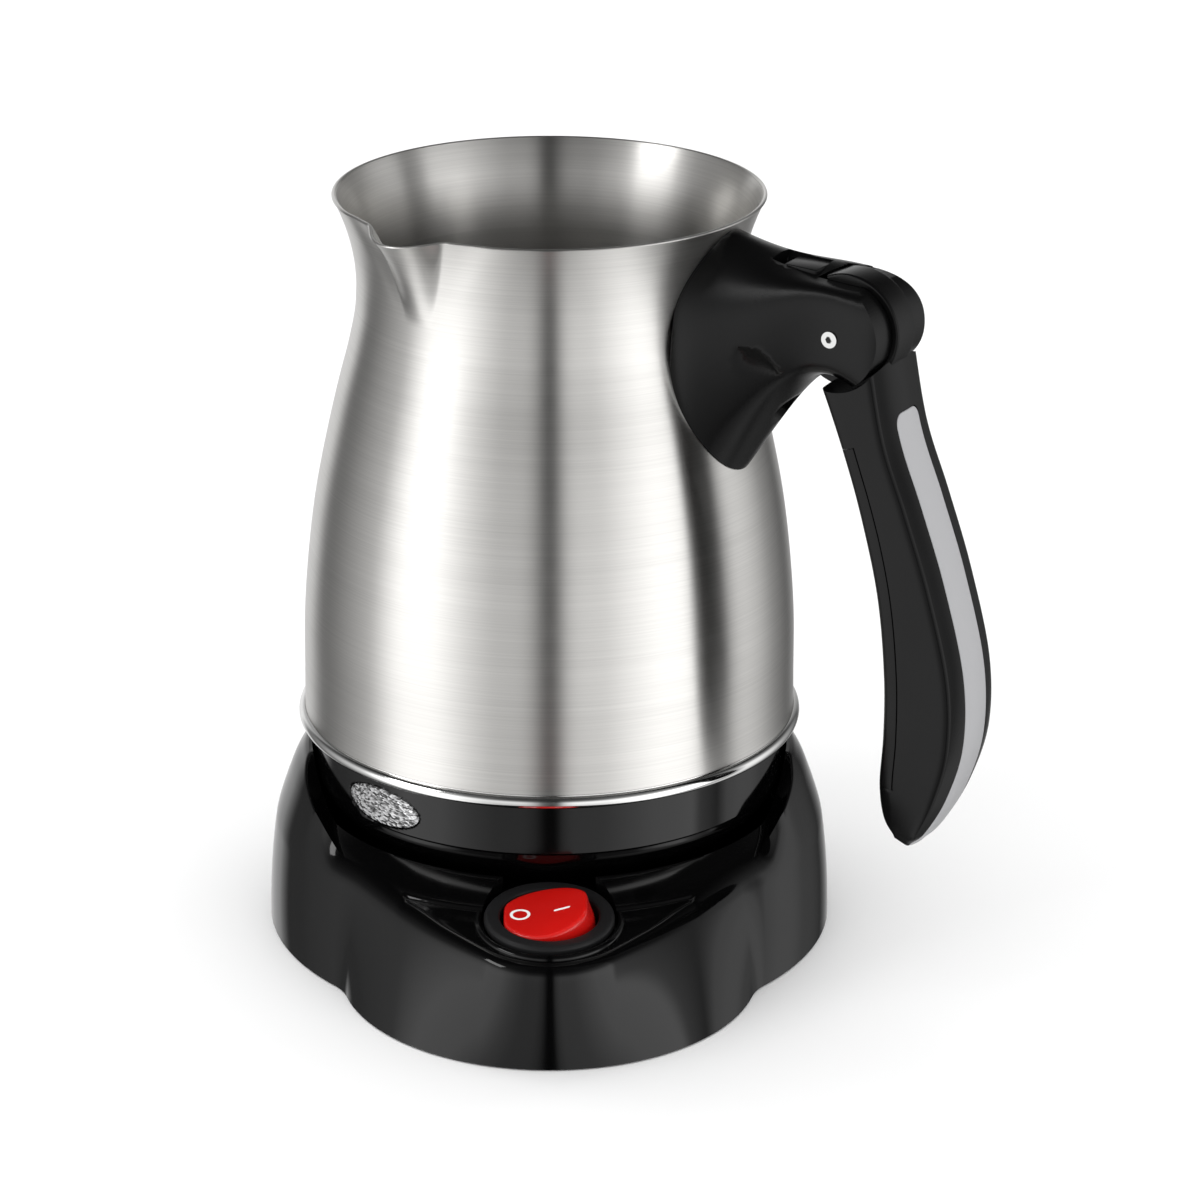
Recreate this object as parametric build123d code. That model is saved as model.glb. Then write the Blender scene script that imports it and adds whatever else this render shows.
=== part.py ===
"""Electric turkish coffee maker: a steel pot with a folding grip on a powered base.

Millimetres and degrees. The origin lies on the floor under the pot's axis, +Z is up and +X points
from the pot to its grip. The base is drawn with its switch towards -Y and then turned by BASE_TURN.
"""
from build123d import *
import math
import os

# ------------------------------------------------------------------ clearances
SEAT_GAP = 0.03         # between a fixed piece and the hole that it sits in
RUN_GAP = 0.05          # radial, round a shaft that turns in its hole
MOVE_GAP = 0.3          # between bodies that pass each other
REST_GAP = 0.1          # between flat faces of bodies that stand on each other

# ------------------------------------------------------------------ pot
POT_WALL = 0.7
POT_FOOT_R, POT_FOOT_Z = 47.3, 42.3
BELLY_R, BELLY_Z = POT_FOOT_R - 0.4, 63.0
WAIST_R, WAIST_Z = 44.33, 87.0
SHOULDER_R, SHOULDER_Z = 39.52, 109.0
NECK_R, NECK_Z = 35.9, 128.0
RIM_R, RIM_Z = 40.15, 145.35
POT_FLOOR_UP = 1.6      # underside of the pot's floor, above the foot edge
SPOUT_ANGLE = -99.0     # round the pot from the grip
SPOUT_LIP = 4.4         # how far the lip stands out of the rim
SPOUT_HALF = 12.5       # half the angle that the lip takes

BEAD_OUT = 1.15         # the bead's bulge past the steel
BEAD_HIGH = 2.7
BEAD_LIP = 0.7          # thickness of the bead's turned-in lip

# ------------------------------------------------------------------ heater under the pot
SKIRT_STEP = 1.9        # the skirt inside the steel's foot
SKIRT_R = POT_FOOT_R - SKIRT_STEP
SKIRT_WALL = 2.0
SKIRT_BOTTOM_Z = 22.4
SKIRT_TUCK = 7.9        # how far the skirt draws in at its floor
SKIRT_KNEE_Z = 31.0
PLATE_ROOM = 5.4        # between the heating plate and the inside of the skirt
PLATE_R = SKIRT_R - SKIRT_WALL - PLATE_ROOM
PLATE_THICK = 4.6
ELEMENT_TUBE_R = 3.2
ELEMENT_R = PLATE_R - 11.0
ELEMENT_BEDDED = 0.6    # how deep the tube lies in the plate
ELEMENT_OPEN = 60.0     # angle between the tube's two ends
TERMINAL_R, TERMINAL_LONG = 1.6, 8.0
THERMOSTAT_R = 8.0
FUSE_R, FUSE_LONG = 2.0, 12.0
FUSE_OUT = PLATE_R - 5.0
SKIRT_SCREW_R = 1.75
SKIRT_SCREW_PCR = PLATE_R - 4.0
CONNECTOR_R = 19.0
CONNECTOR_HIGH = 10.2
LENS_ANGLE = -102.0
LENS_WIDE, LENS_HIGH, LENS_THICK = 18.5, 7.0, 1.5
LENS_Z = 35.5
LAMP_R, LAMP_LONG = 2.5, 12.0

# ------------------------------------------------------------------ base
BASE_TURN = 32.0
BASE_Z = 1.0            # lower edge of the housing, above the floor
BASE_WALL = 2.2
WELL_GAP = 0.5          # round the skirt, in the well
WELL_R, WELL_FLOOR_Z = SKIRT_R + WELL_GAP, 19.0
COLLAR_WIDE, COLLAR_Z = 1.6, 35.4
SHOULDER_WIDE = 5.5     # the round shoulder, from the collar down to the crest
CREST_R, CREST_Z = WELL_R + COLLAR_WIDE + SHOULDER_WIDE, 23.0
WALL_LEAN = 2.0         # the side wall, from the crest out to its foot
BASE_R = CREST_R + WALL_LEAN
LOBE_R = 42.8
BLEND_R = 20.0
PANEL_SLOPE = 5.0
PANEL_Z = 21.9          # height of the front panel at the switch
PANEL_EDGE_Z = 27.1     # where the panel rises to the edge of the well
PANEL_FALL = 0.57       # that rise, per mm outwards
NOTCH_SIDE_IN = 7.9     # the cut-away's side, inside the well's edge, at the crest's height
NOTCH_TAPER = 2.0       # how much narrower the cut-away is at its front
NOTCH_BACK = 21.9       # the cut-away's back, in front of the axis, at the crest's height
NOTCH_SIDE_LEAN, NOTCH_BACK_LEAN = 0.89, 1.22   # outwards per mm of height
NOTCH_CORNER_R = 8.0
COVER_THICK = 2.0
COVER_GAP = 0.2         # round the bottom cover, inside the housing
FOOT_R, FOOT_STEM_R = 6.0, 2.5
COVER_SCREW_R = 1.5
SCREW_HEAD_R, SCREW_HEAD_HIGH = 2.8, 1.2
BOSS_WALL = 2.0

SWITCH_PAST = 1.0       # the switch's centre past the crest
SWITCH_OUT = CREST_R + SWITCH_PAST
LOBE_OUT = SWITCH_OUT - 26.3
BEZEL_R, BEZEL_HIGH = 12.0, 1.8
BOSS_R, BOSS_HIGH = BEZEL_R + 1.8, 0.8
SPOT_GAP = 0.6          # spot face round the boss
NOSE_R = BOSS_R + 2.3   # crest round the boss
SWITCH_HOLE_R = 10.0
SWITCH_DEEP = 11.0
ROCKER_R, ROCKER_OPENING_R = 8.5, 9.1
ROCKER_THROW = 22.0
ROCKER_PIVOT_Z = -1.0
ROCKER_TOP, ROCKER_DISH = 3.4, 1.2
TRUNNION_R = 1.0

COUPLER_FLANGE_R, COUPLER_FLANGE_THICK = 17.0, 2.0
COUPLER_R, COUPLER_HIGH = 11.0, 12.0
COUPLER_CUP_R = 8.0
COUPLER_PIN_R = 2.2
CONTACT_THICK = 0.4
CONTACT_GAP = 0.2       # between a contact of the coupler and its mate
COUPLER_SCREW_PCR, COUPLER_SCREW_R = 14.0, 1.25
TURN_RING_IN, TURN_RING_OUT = 22.0, 27.0
GLAND_Z = 9.0
GLAND_R, GLAND_BORE_R, GLAND_FLANGE_R = 5.5, 3.5, 7.1
GLAND_FLANGE_THICK, GLAND_LONG = 1.5, 8.0
CLAMP_OUT = BASE_R - 15.0
CLAMP_WIDE, CLAMP_DEEP, CLAMP_THICK, CLAMP_SCREW_R = 20.0, 5.0, 3.0, 1.25

# ------------------------------------------------------------------ folding handle
PIN_REACH, PIN_DROP, PIN_R = 28.0, 15.85, 1.5
PIN_X, PIN_Z = NECK_R + PIN_REACH, RIM_Z - PIN_DROP
KNUCKLE_R, KNUCKLE_HALF = 9.2, 9.5
TONGUE_R, TONGUE_HALF = 10.4, 3.3
BUSH_R = 2.6
NUT_R, NUT_THICK = 2.4, 1.6
SADDLE_HALF = 13.2
SADDLE_GAP = 0.05       # between the saddle and the pot
SADDLE_TOP_Z = RIM_Z - 0.75
SADDLE_LOW_Z = SADDLE_TOP_Z - 50.0
BRACKET_PLATE_THICK, BRACKET_PLATE_HALF = 1.2, 7.0
BRACKET_PLATE_HIGH = 22.0
BRACKET_PLATE_Z = PIN_Z - 7.5
BRACKET_BOSS_R, BRACKET_BOSS_LONG = 3.2, 10.5
BRACKET_SCREW_R, BRACKET_SCREW_HEAD_R = 1.5, 3.0
RECESS_BACK, RECESS_DROP, RECESS_TILT = 11.9, 19.0, 40.4     # screw recess, from the pin
DIMPLE_R, DIMPLE_DEEP, DIMPLE_TILT = 7.5, 1.4, 20.0
DIMPLE_BACK, DIMPLE_DROP = 16.3, 11.0       # from the pin
LATCH_TRAVEL = 1.8
LATCH_LONG, LATCH_HALF = 6.6, 3.2
SPRING_R, SPRING_WIRE_R, SPRING_LONG, SPRING_TURNS = 1.4, 0.3, 7.0, 4

GRIP_HALF = 9.0
GRIP_TIP_HALF = 5.0
GRIP_RIDGE_DROP = 1.3   # the back's crown above its two ridges
COVER_STRIP = 3.4       # depth of the inner cover
INLAY_HALF, INLAY_THICK = 4.2, 1.4
INLAY_TOP_Z = PIN_Z - 13.5
GRIP_SCREW_R, GRIP_SCREW_HEAD_R = 1.1, 2.0

# inner and outer edge of the grip, seen from the side and from the pin, from its neck to its tip
GRIP_FROM_PIN = [
    ((-3.4, -7.0), (8.7, -1.9)),
    ((2.1, -20.2), (12.1, -17.3)),
    ((6.2, -32.2), (17.0, -29.9)),
    ((10.0, -47.0), (22.0, -43.5)),
    ((11.8, -61.5), (26.5, -60.0)),
    ((12.1, -73.0), (27.1, -73.5)),
    ((11.4, -83.2), (24.3, -84.5)),
    ((11.8, -89.9), (20.3, -92.5)),
    ((13.4, -94.1), (17.4, -95.7)),
]
GRIP_EDGES = [tuple((PIN_X + x, PIN_Z + z) for x, z in pair) for pair in GRIP_FROM_PIN]

os.makedirs("parts", exist_ok=True)


# ------------------------------------------------------------------ helpers
def save(name, *solids):
    """Write one node: a single solid, or a group of separate ones."""
    shape = solids[0] if len(solids) == 1 else Compound(children=list(solids))
    export_step(shape, f"parts/{name}.step")


def rod(radius, low, high):
    """Upright cylinder between two heights."""
    return Pos(0, 0, (low + high) / 2) * Cylinder(radius, high - low)


def ring(outer, inner, low, high):
    return rod(outer, low, high) - rod(inner, low - 1, high + 1)


def turned(*edges):
    """Solid of revolution about Z from a closed profile in the XZ plane."""
    return revolve(make_face(edges), Axis.Z)


def cross_rod(radius, x, z, near, far):
    """Cylinder along Y through (x, z)."""
    return Pos(x, (near + far) / 2, z) * Rot(90, 0, 0) * Cylinder(radius, far - near)


def round_about(count, radius, start=0.0):
    """Places evenly spaced on a circle."""
    return [Rot(0, 0, start + 360 * i / count) * Pos(radius, 0, 0) for i in range(count)]


def biggest(shape):
    """The largest solid of a cut that can leave crumbs."""
    return max(shape.solids(), key=lambda solid: solid.volume)


# ------------------------------------------------------------------ pot
def flare_r(z):
    """Radius between neck and rim: a parabola that leaves the neck upright."""
    share = (z - NECK_Z) / (RIM_Z - NECK_Z)
    return NECK_R + (RIM_R - NECK_R) * share ** 2


def belly_edge(grow):
    return Spline(
        (POT_FOOT_R + grow, 0, POT_FOOT_Z), (BELLY_R + grow, 0, BELLY_Z),
        (WAIST_R + grow, 0, WAIST_Z), (SHOULDER_R + grow, 0, SHOULDER_Z),
        (NECK_R + grow, 0, NECK_Z), tangents=[(-0.02, 0, 1), (0, 0, 1)])


def pot_form(grow):
    """Everything inside the pot's outer face, moved out by grow, with no spout."""
    rim = RIM_R + grow
    middle_z = (NECK_Z + RIM_Z) / 2
    flare = Spline((NECK_R + grow, 0, NECK_Z), (flare_r(middle_z) + grow, 0, middle_z),
                   (rim, 0, RIM_Z), tangents=[(0, 0, 1), (0.45, 0, 1)])
    inside = Polyline((rim, 0, RIM_Z), (0, 0, RIM_Z), (0, 0, POT_FOOT_Z),
                      (POT_FOOT_R + grow, 0, POT_FOOT_Z))
    return turned(belly_edge(grow), flare, *inside.edges())


def neck_section(z, inset):
    """Round outline at height z with the spout's bulge, tangent to the circle on both sides."""
    share = (z - NECK_Z) / (RIM_Z - NECK_Z)
    radius = flare_r(z) - inset
    half = math.radians(SPOUT_HALF)
    side = (radius * math.cos(half), radius * math.sin(half))
    start, end = (side[0], -side[1], z), (side[0], side[1], z)
    if share == 0:
        front = ThreePointArc(start, (radius, 0, z), end)
    else:
        tip = (radius + SPOUT_LIP * share ** 1.2, 0, z)
        front = Spline(start, tip, end, tangents=[(side[1], side[0], 0), (-side[1], side[0], 0)])
    return make_face([front, ThreePointArc(end, (-radius, 0, z), start)])


def neck_form(inset):
    steps = [NECK_Z + (RIM_Z - NECK_Z) * i / 4 for i in range(5)]
    return Rot(0, 0, SPOUT_ANGLE) * loft([neck_section(z, inset) for z in steps])


def belly_form(inset, low):
    """Solid of the belly inside its wall, from a height up to the neck."""
    edge = belly_edge(-inset)
    rest = Polyline((NECK_R - inset, 0, NECK_Z), (0, 0, NECK_Z), (0, 0, POT_FOOT_Z),
                    (POT_FOOT_R - inset, 0, POT_FOOT_Z))
    return turned(edge, *rest.edges()) - rod(2 * POT_FOOT_R, POT_FOOT_Z - 5, low)


def pot_shell():
    """Drawn belly and flared neck in one wall, with a floor set up inside the foot edge."""
    floor_low = POT_FOOT_Z + POT_FLOOR_UP
    outside = belly_form(0, POT_FOOT_Z - 1) + neck_form(0)
    inside = belly_form(POT_WALL, floor_low + POT_WALL) + neck_form(POT_WALL)
    return outside - inside - rod(POT_FOOT_R - POT_WALL, POT_FOOT_Z - 1, floor_low)


def bead_ring():
    """Half-round trim that clips under the pot's foot edge."""
    low, seat = POT_FOOT_Z - BEAD_LIP, POT_FOOT_R + SEAT_GAP
    top = low + BEAD_HIGH
    outside = ThreePointArc((POT_FOOT_R + 0.3, 0, low), (POT_FOOT_R + BEAD_OUT, 0, (low + top) / 2), (seat, 0, top))
    inside = Polyline((seat, 0, top), (seat, 0, POT_FOOT_Z), (SKIRT_R + 0.2, 0, POT_FOOT_Z),
                      (SKIRT_R + 0.2, 0, low), (POT_FOOT_R + 0.3, 0, low))
    return turned(outside, *inside.edges())


# ------------------------------------------------------------------ heater
POT_UNDERSIDE = POT_FOOT_Z + POT_FLOOR_UP
SKIRT_TOP_Z = POT_FOOT_Z - BEAD_LIP
PLATE_LOW = POT_UNDERSIDE - PLATE_THICK
SKIRT_FLOOR_Z = SKIRT_BOTTOM_Z + SKIRT_WALL
CONNECTOR_LOW = SKIRT_BOTTOM_Z + 0.5
CONNECTOR_TOP = CONNECTOR_LOW + CONNECTOR_HIGH
ELEMENT_Z = PLATE_LOW - ELEMENT_TUBE_R + ELEMENT_BEDDED
COUPLER_TOP = WELL_FLOOR_Z + COUPLER_HIGH


def skirt_form(grow, low, top):
    """Solid inside the skirt's outer face: upright above, drawn in below its knee."""
    knee = (SKIRT_R - 0.6 + grow, 0, SKIRT_KNEE_Z)
    upper = Polyline((0, 0, low), (0, 0, top), (SKIRT_R + grow, 0, top), knee)
    bottom = SKIRT_R - SKIRT_TUCK + grow
    lower = Spline(knee, (SKIRT_R - 3.2 + grow, 0, SKIRT_KNEE_Z - 4.4), (bottom, 0, low),
                   tangents=[(-0.1, 0, -1), (-1, 0, -0.6)])
    return turned(*upper.edges(), lower, Line((bottom, 0, low), (0, 0, low)))


def lens_window(grow):
    """Oval prism that points out through the skirt."""
    place = Plane((0, 0, LENS_Z), x_dir=(0, 1, 0), z_dir=(1, 0, 0))
    oval = place * Ellipse(LENS_WIDE / 2 + grow, LENS_HIGH / 2 + grow)
    return Rot(0, 0, LENS_ANGLE) * Pos(SKIRT_R - 8, 0, 0) * extrude(oval, 14)


def skirt_screw_places():
    return round_about(3, SKIRT_SCREW_PCR, 18)


def heater_skirt():
    hollow = skirt_form(-SKIRT_WALL, SKIRT_FLOOR_Z, SKIRT_TOP_Z + 1)
    skirt = skirt_form(0, SKIRT_BOTTOM_Z, SKIRT_TOP_Z) - hollow
    for place in skirt_screw_places():
        skirt += place * rod(SKIRT_SCREW_R + BOSS_WALL, SKIRT_FLOOR_Z - 0.5, PLATE_LOW)
    for place in skirt_screw_places():
        skirt -= place * rod(SKIRT_SCREW_R + SEAT_GAP, 0, PLATE_LOW + 1)
        skirt -= place * rod(SCREW_HEAD_R + 0.2, 0, SKIRT_BOTTOM_Z + SCREW_HEAD_HIGH + 0.2)
    skirt -= rod(CONNECTOR_R + SEAT_GAP, 0, SKIRT_FLOOR_Z + 1)
    return skirt - lens_window(SEAT_GAP)


def skirt_screws():
    head_low = SKIRT_BOTTOM_Z + 0.2
    screw = rod(SCREW_HEAD_R, head_low, head_low + SCREW_HEAD_HIGH)
    screw += rod(SKIRT_SCREW_R, head_low + 1, PLATE_LOW + PLATE_THICK * 0.6)
    return [place * screw for place in skirt_screw_places()]


def element_tube(radius):
    """C-shaped tube: the heater's own, or the groove that it lies in."""
    span = 360 - ELEMENT_OPEN
    section = Plane((ELEMENT_R, 0, ELEMENT_Z), x_dir=(1, 0, 0), z_dir=(0, 1, 0)) * Circle(radius)
    return Rot(0, 0, ELEMENT_OPEN / 2) * revolve(section, Axis.Z, span)


def heating_plate():
    plate = rod(PLATE_R, PLATE_LOW, POT_UNDERSIDE) - element_tube(ELEMENT_TUBE_R + SEAT_GAP)
    for place in skirt_screw_places():
        plate -= place * rod(SKIRT_SCREW_R + SEAT_GAP, 0, PLATE_LOW + PLATE_THICK * 0.6 + 0.3)
    return plate


def element_terminals():
    """Two cold ends that carry on from the tube's end faces."""
    ends = []
    for side in (1, -1):
        pin = Pos(ELEMENT_R, -side * TERMINAL_LONG / 2, ELEMENT_Z) * Rot(90, 0, 0)
        ends.append(Rot(0, 0, side * ELEMENT_OPEN / 2) * pin * Cylinder(TERMINAL_R, TERMINAL_LONG))
    return ends


def pot_connector():
    """Round socket that drops over the coupler, with a post for its cup."""
    mouth = COUPLER_R + CONTACT_THICK + CONTACT_GAP + CONTACT_THICK
    flange = rod(CONNECTOR_R + 3, SKIRT_FLOOR_Z, SKIRT_FLOOR_Z + 2)
    body = rod(CONNECTOR_R, CONNECTOR_LOW, CONNECTOR_TOP) + flange
    body -= rod(mouth, CONNECTOR_LOW - 1, COUPLER_TOP + MOVE_GAP)
    post = rod(post_r(), CONNECTOR_LOW + 3, CONNECTOR_TOP - 0.5)
    return body + post - rod(pin_hole_r(), 0, CONNECTOR_TOP - 1.5)


def pin_hole_r():
    """Hole in the post for the centre pin and the contact round it."""
    return COUPLER_PIN_R + CONTACT_GAP + CONTACT_THICK


def post_r():
    """Outside of the socket's post, which leaves room for two contacts in the cup."""
    return COUPLER_CUP_R - CONTACT_THICK - CONTACT_GAP - CONTACT_THICK


def connector_contacts():
    mouth = COUPLER_R + CONTACT_THICK + CONTACT_GAP
    outer = ring(mouth + CONTACT_THICK, mouth, CONNECTOR_LOW + 0.5, CONNECTOR_LOW + 6)
    middle = ring(post_r() + CONTACT_THICK, post_r(), CONNECTOR_LOW + 3.4, CONNECTOR_LOW + 7)
    centre = ring(pin_hole_r(), pin_hole_r() - CONTACT_THICK, CONNECTOR_LOW + 3.5, CONNECTOR_TOP - 1.5)
    return outer, middle, centre


def indicator_lens():
    band = skirt_form(0.2, SKIRT_BOTTOM_Z, SKIRT_TOP_Z) - skirt_form(0.2 - LENS_THICK, SKIRT_BOTTOM_Z - 1, 60)
    return band & lens_window(0)


def indicator_lamp():
    out = SKIRT_R - LENS_THICK - LAMP_R - 0.8
    return Rot(0, 0, LENS_ANGLE) * cross_rod(LAMP_R, out, LENS_Z, -LAMP_LONG / 2, LAMP_LONG / 2)


# ------------------------------------------------------------------ base
def blend_centre():
    """Centre of the hollow blend that touches the round back and the front lobe."""
    far, near = BASE_R + BLEND_R, LOBE_R + BLEND_R
    y = (near ** 2 - far ** 2 - LOBE_OUT ** 2) / (2 * LOBE_OUT)
    return math.sqrt(far ** 2 - y ** 2), y


def towards(start, end, distance):
    dx, dy = end[0] - start[0], end[1] - start[1]
    scale = distance / math.hypot(dx, dy)
    return start[0] + dx * scale, start[1] + dy * scale


def foot_outline(inset, z):
    """Floor outline: round back, hollow blends and front lobe."""
    centre = blend_centre()
    back = towards((0, 0), centre, BASE_R - inset)
    front = towards((0, -LOBE_OUT), centre, LOBE_R - inset)
    middle_of_blend = ((back[0] + front[0]) / 2, (back[1] + front[1]) / 2)
    middle = towards(centre, middle_of_blend, BLEND_R + inset)
    nose = -(LOBE_OUT + LOBE_R - inset)
    edges = [
        ThreePointArc((back[0], back[1], z), (0, BASE_R - inset, z), (-back[0], back[1], z)),
        ThreePointArc((-back[0], back[1], z), (-middle[0], middle[1], z), (-front[0], front[1], z)),
        ThreePointArc((-front[0], front[1], z), (0, nose, z), (front[0], front[1], z)),
        ThreePointArc((front[0], front[1], z), (middle[0], middle[1], z), (back[0], back[1], z)),
    ]
    return make_face(edges)


def crest_outline(inset, z):
    """Top outline: the hull of the shoulder circle and the nose round the switch boss."""
    lean = math.acos((CREST_R - NOSE_R) / SWITCH_OUT)
    out, along = math.sin(lean), -math.cos(lean)
    back = ((CREST_R - inset) * out, (CREST_R - inset) * along)
    front = ((NOSE_R - inset) * out, (NOSE_R - inset) * along - SWITCH_OUT)
    nose = -(SWITCH_OUT + NOSE_R - inset)
    edges = [
        ThreePointArc((back[0], back[1], z), (0, CREST_R - inset, z), (-back[0], back[1], z)),
        Line((-back[0], back[1], z), (-front[0], front[1], z)),
        ThreePointArc((-front[0], front[1], z), (0, nose, z), (front[0], front[1], z)),
        Line((front[0], front[1], z), (back[0], back[1], z)),
    ]
    return make_face(edges)


def below_panel(drop):
    """Everything under the sloping front panel and its rise to the well, lowered by drop."""
    slab = Pos(0, 0, -60 - drop) * Box(240, 400, 120)
    slab = Pos(0, -SWITCH_OUT, PANEL_Z) * Rot(PANEL_SLOPE, 0, 0) * slab
    edge = PANEL_EDGE_Z - drop
    rise = PANEL_EDGE_Z - CREST_Z + 8
    profile = Polyline((0, 0, edge), (WELL_R, 0, edge), (WELL_R + rise / PANEL_FALL, 0, edge - rise),
                       (0, 0, edge - rise), close=True)
    return slab + turned(*profile.edges())


def shoulder_form(inset):
    """Round shoulder that rises from the crest to the collar of the well."""
    low = CREST_Z - 10
    crest, top = CREST_R - inset, WELL_R + COLLAR_WIDE - inset
    tall = COLLAR_Z - inset - CREST_Z
    edge = Spline((crest, 0, CREST_Z), (crest - SHOULDER_WIDE * 0.33, 0, CREST_Z + tall * 0.39),
                  (crest - SHOULDER_WIDE * 0.62, 0, CREST_Z + tall * 0.70), (top, 0, COLLAR_Z - inset),
                  tangents=[(-0.3, 0, 1), (-1, 0, 1)])
    rest = Polyline((top, 0, COLLAR_Z - inset), (0, 0, COLLAR_Z - inset), (0, 0, low),
                    (crest, 0, low), (crest, 0, CREST_Z))
    return turned(edge, *rest.edges())


def panel_notch(inset):
    """Cut-away of the shoulder over the front panel, with sides and back that lean outwards."""
    def outline(z):
        up = z - CREST_Z
        side = WELL_R - NOTCH_SIDE_IN + NOTCH_SIDE_LEAN * up + inset
        back = -NOTCH_BACK + NOTCH_BACK_LEAN * up + inset
        corners = [(side, back, z), (-side, back, z), (-side + NOTCH_TAPER, -1.7 * SWITCH_OUT, z),
                   (side - NOTCH_TAPER, -1.7 * SWITCH_OUT, z)]
        face = make_face(Polyline(*corners, close=True).edges())
        return fillet(face.vertices().sort_by(Axis.Y)[-2:], NOTCH_CORNER_R)

    low, high = CREST_Z - 6, COLLAR_Z + 4
    return loft([outline(low), outline(high)], ruled=True) - below_panel(inset)


def base_form(inset):
    """Outer form of the housing, or its hollow when inset by the wall."""
    low = BASE_Z - (1 if inset else 0)
    wall = loft([foot_outline(inset, low), crest_outline(inset, CREST_Z)], ruled=True)
    wall -= panel_notch(inset)
    front = Pos(0, -150, 0) * Box(300, 300, 200)
    wall = (wall - front) + ((wall & front) & below_panel(inset))
    return wall + (shoulder_form(inset) - panel_notch(inset))


def in_pairs(radius, angle):
    """Two places, mirrored about the YZ plane, on a circle round the axis."""
    x, y = radius * math.cos(math.radians(angle)), radius * math.sin(math.radians(angle))
    return [Pos(x, y, 0), Pos(-x, y, 0)]


def cover_screw_places():
    return in_pairs(BASE_R - 7.8, 36.4) + in_pairs(BASE_R - 11.7, -33.7)


def foot_places():
    front = LOBE_OUT + LOBE_R - 24.5
    return in_pairs(BASE_R - 9.4, 54.6) + [Pos(25, -front, 0), Pos(-25, -front, 0)]


def switch_place():
    return Pos(0, -SWITCH_OUT, PANEL_Z) * Rot(PANEL_SLOPE, 0, 0)


COVER_TOP = BASE_Z + COVER_THICK
WELL_CEILING = WELL_FLOOR_Z - BASE_WALL


def base_housing():
    spot_r = BOSS_R + SPOT_GAP
    hollow = base_form(BASE_WALL) - rod(WELL_R + BASE_WALL, WELL_CEILING, 60)
    hollow -= switch_place() * rod(spot_r + BASE_WALL, -BASE_WALL, 12)
    housing = base_form(0) - hollow - rod(WELL_R, WELL_FLOOR_Z, 60)
    housing += ring(TURN_RING_IN - 0.3, TURN_RING_IN - 1.8, WELL_FLOOR_Z - 1, WELL_FLOOR_Z + 1.5)
    inside = base_form(BASE_WALL / 2)
    for place in cover_screw_places():
        boss = place * (rod(COVER_SCREW_R + BOSS_WALL, COVER_TOP + 0.2, 40)) & inside
        housing += boss - rod(WELL_R + BASE_WALL / 2, WELL_CEILING + 1, 60)
    for place in round_about(3, COUPLER_SCREW_PCR, 30):
        housing += place * rod(COUPLER_SCREW_R + BOSS_WALL, WELL_CEILING - 5, WELL_CEILING + 0.5)
    housing -= switch_place() * rod(spot_r, 0, 12)
    housing += switch_place() * ring(BOSS_R, BEZEL_R + 0.4, -1, BOSS_HIGH)
    for place in cover_screw_places():
        housing -= place * rod(COVER_SCREW_R + SEAT_GAP, 0, COVER_TOP + 8)
    for place in round_about(3, COUPLER_SCREW_PCR, 30):
        housing -= place * rod(COUPLER_SCREW_R + SEAT_GAP, WELL_CEILING - 4, 60)
    housing -= switch_place() * rod(SWITCH_HOLE_R, -8, 8)
    housing -= cross_rod(GLAND_R + SEAT_GAP, 0, GLAND_Z, BASE_R - 12, BASE_R + 5)
    housing -= cross_rod(GLAND_FLANGE_R + 0.2, 0, GLAND_Z, gland_seat(), BASE_R + 5)
    return biggest(housing)


def gland_seat():
    """Distance from the axis to the face that the gland's flange sits on."""
    return BASE_R - BASE_WALL + 0.3


def base_bottom_cover():
    slab = Pos(0, 0, BASE_Z + COVER_THICK / 2) * Box(3 * BASE_R, 3 * BASE_R, COVER_THICK)
    cover = base_form(BASE_WALL + COVER_GAP) & slab
    for place in cover_screw_places():
        cover -= place * rod(COVER_SCREW_R + SEAT_GAP, 0, 20)
        cover -= place * rod(SCREW_HEAD_R + 0.2, 0, BASE_Z + SCREW_HEAD_HIGH)
    for place in foot_places():
        cover -= place * rod(FOOT_STEM_R + SEAT_GAP, 0, 20)
    for x in clamp_xs():
        post = Pos(x, CLAMP_OUT, 0) * rod(CLAMP_SCREW_R + BOSS_WALL / 2, COVER_TOP - 0.5, clamp_z())
        cover += post - Pos(x, CLAMP_OUT, 0) * rod(CLAMP_SCREW_R + SEAT_GAP, COVER_TOP + 1, 30)
    for i in range(-3, 4):
        cover -= Pos(i * 5, 6, 0) * Box(2, 26, 20)
    return cover


def rubber_feet():
    foot = rod(FOOT_R, 0, BASE_Z) + rod(FOOT_STEM_R, BASE_Z - 0.5, COVER_TOP + 0.6)
    return [place * foot for place in foot_places()]


def bottom_cover_screws():
    screw = rod(SCREW_HEAD_R, BASE_Z, BASE_Z + SCREW_HEAD_HIGH)
    screw += rod(COVER_SCREW_R, BASE_Z + 1, COVER_TOP + 7)
    return [place * screw for place in cover_screw_places()]


def coupler_socket():
    flange_top = WELL_FLOOR_Z + COUPLER_FLANGE_THICK
    body = rod(COUPLER_FLANGE_R, WELL_FLOOR_Z, flange_top) + rod(COUPLER_R, WELL_FLOOR_Z, COUPLER_TOP)
    body -= rod(COUPLER_CUP_R, flange_top + 1, COUPLER_TOP + 1)
    for place in round_about(3, COUPLER_SCREW_PCR, 30):
        body -= place * rod(COUPLER_SCREW_R + SEAT_GAP, 0, 60)
    return body - rod(COUPLER_PIN_R + SEAT_GAP, 0, 60)


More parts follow.
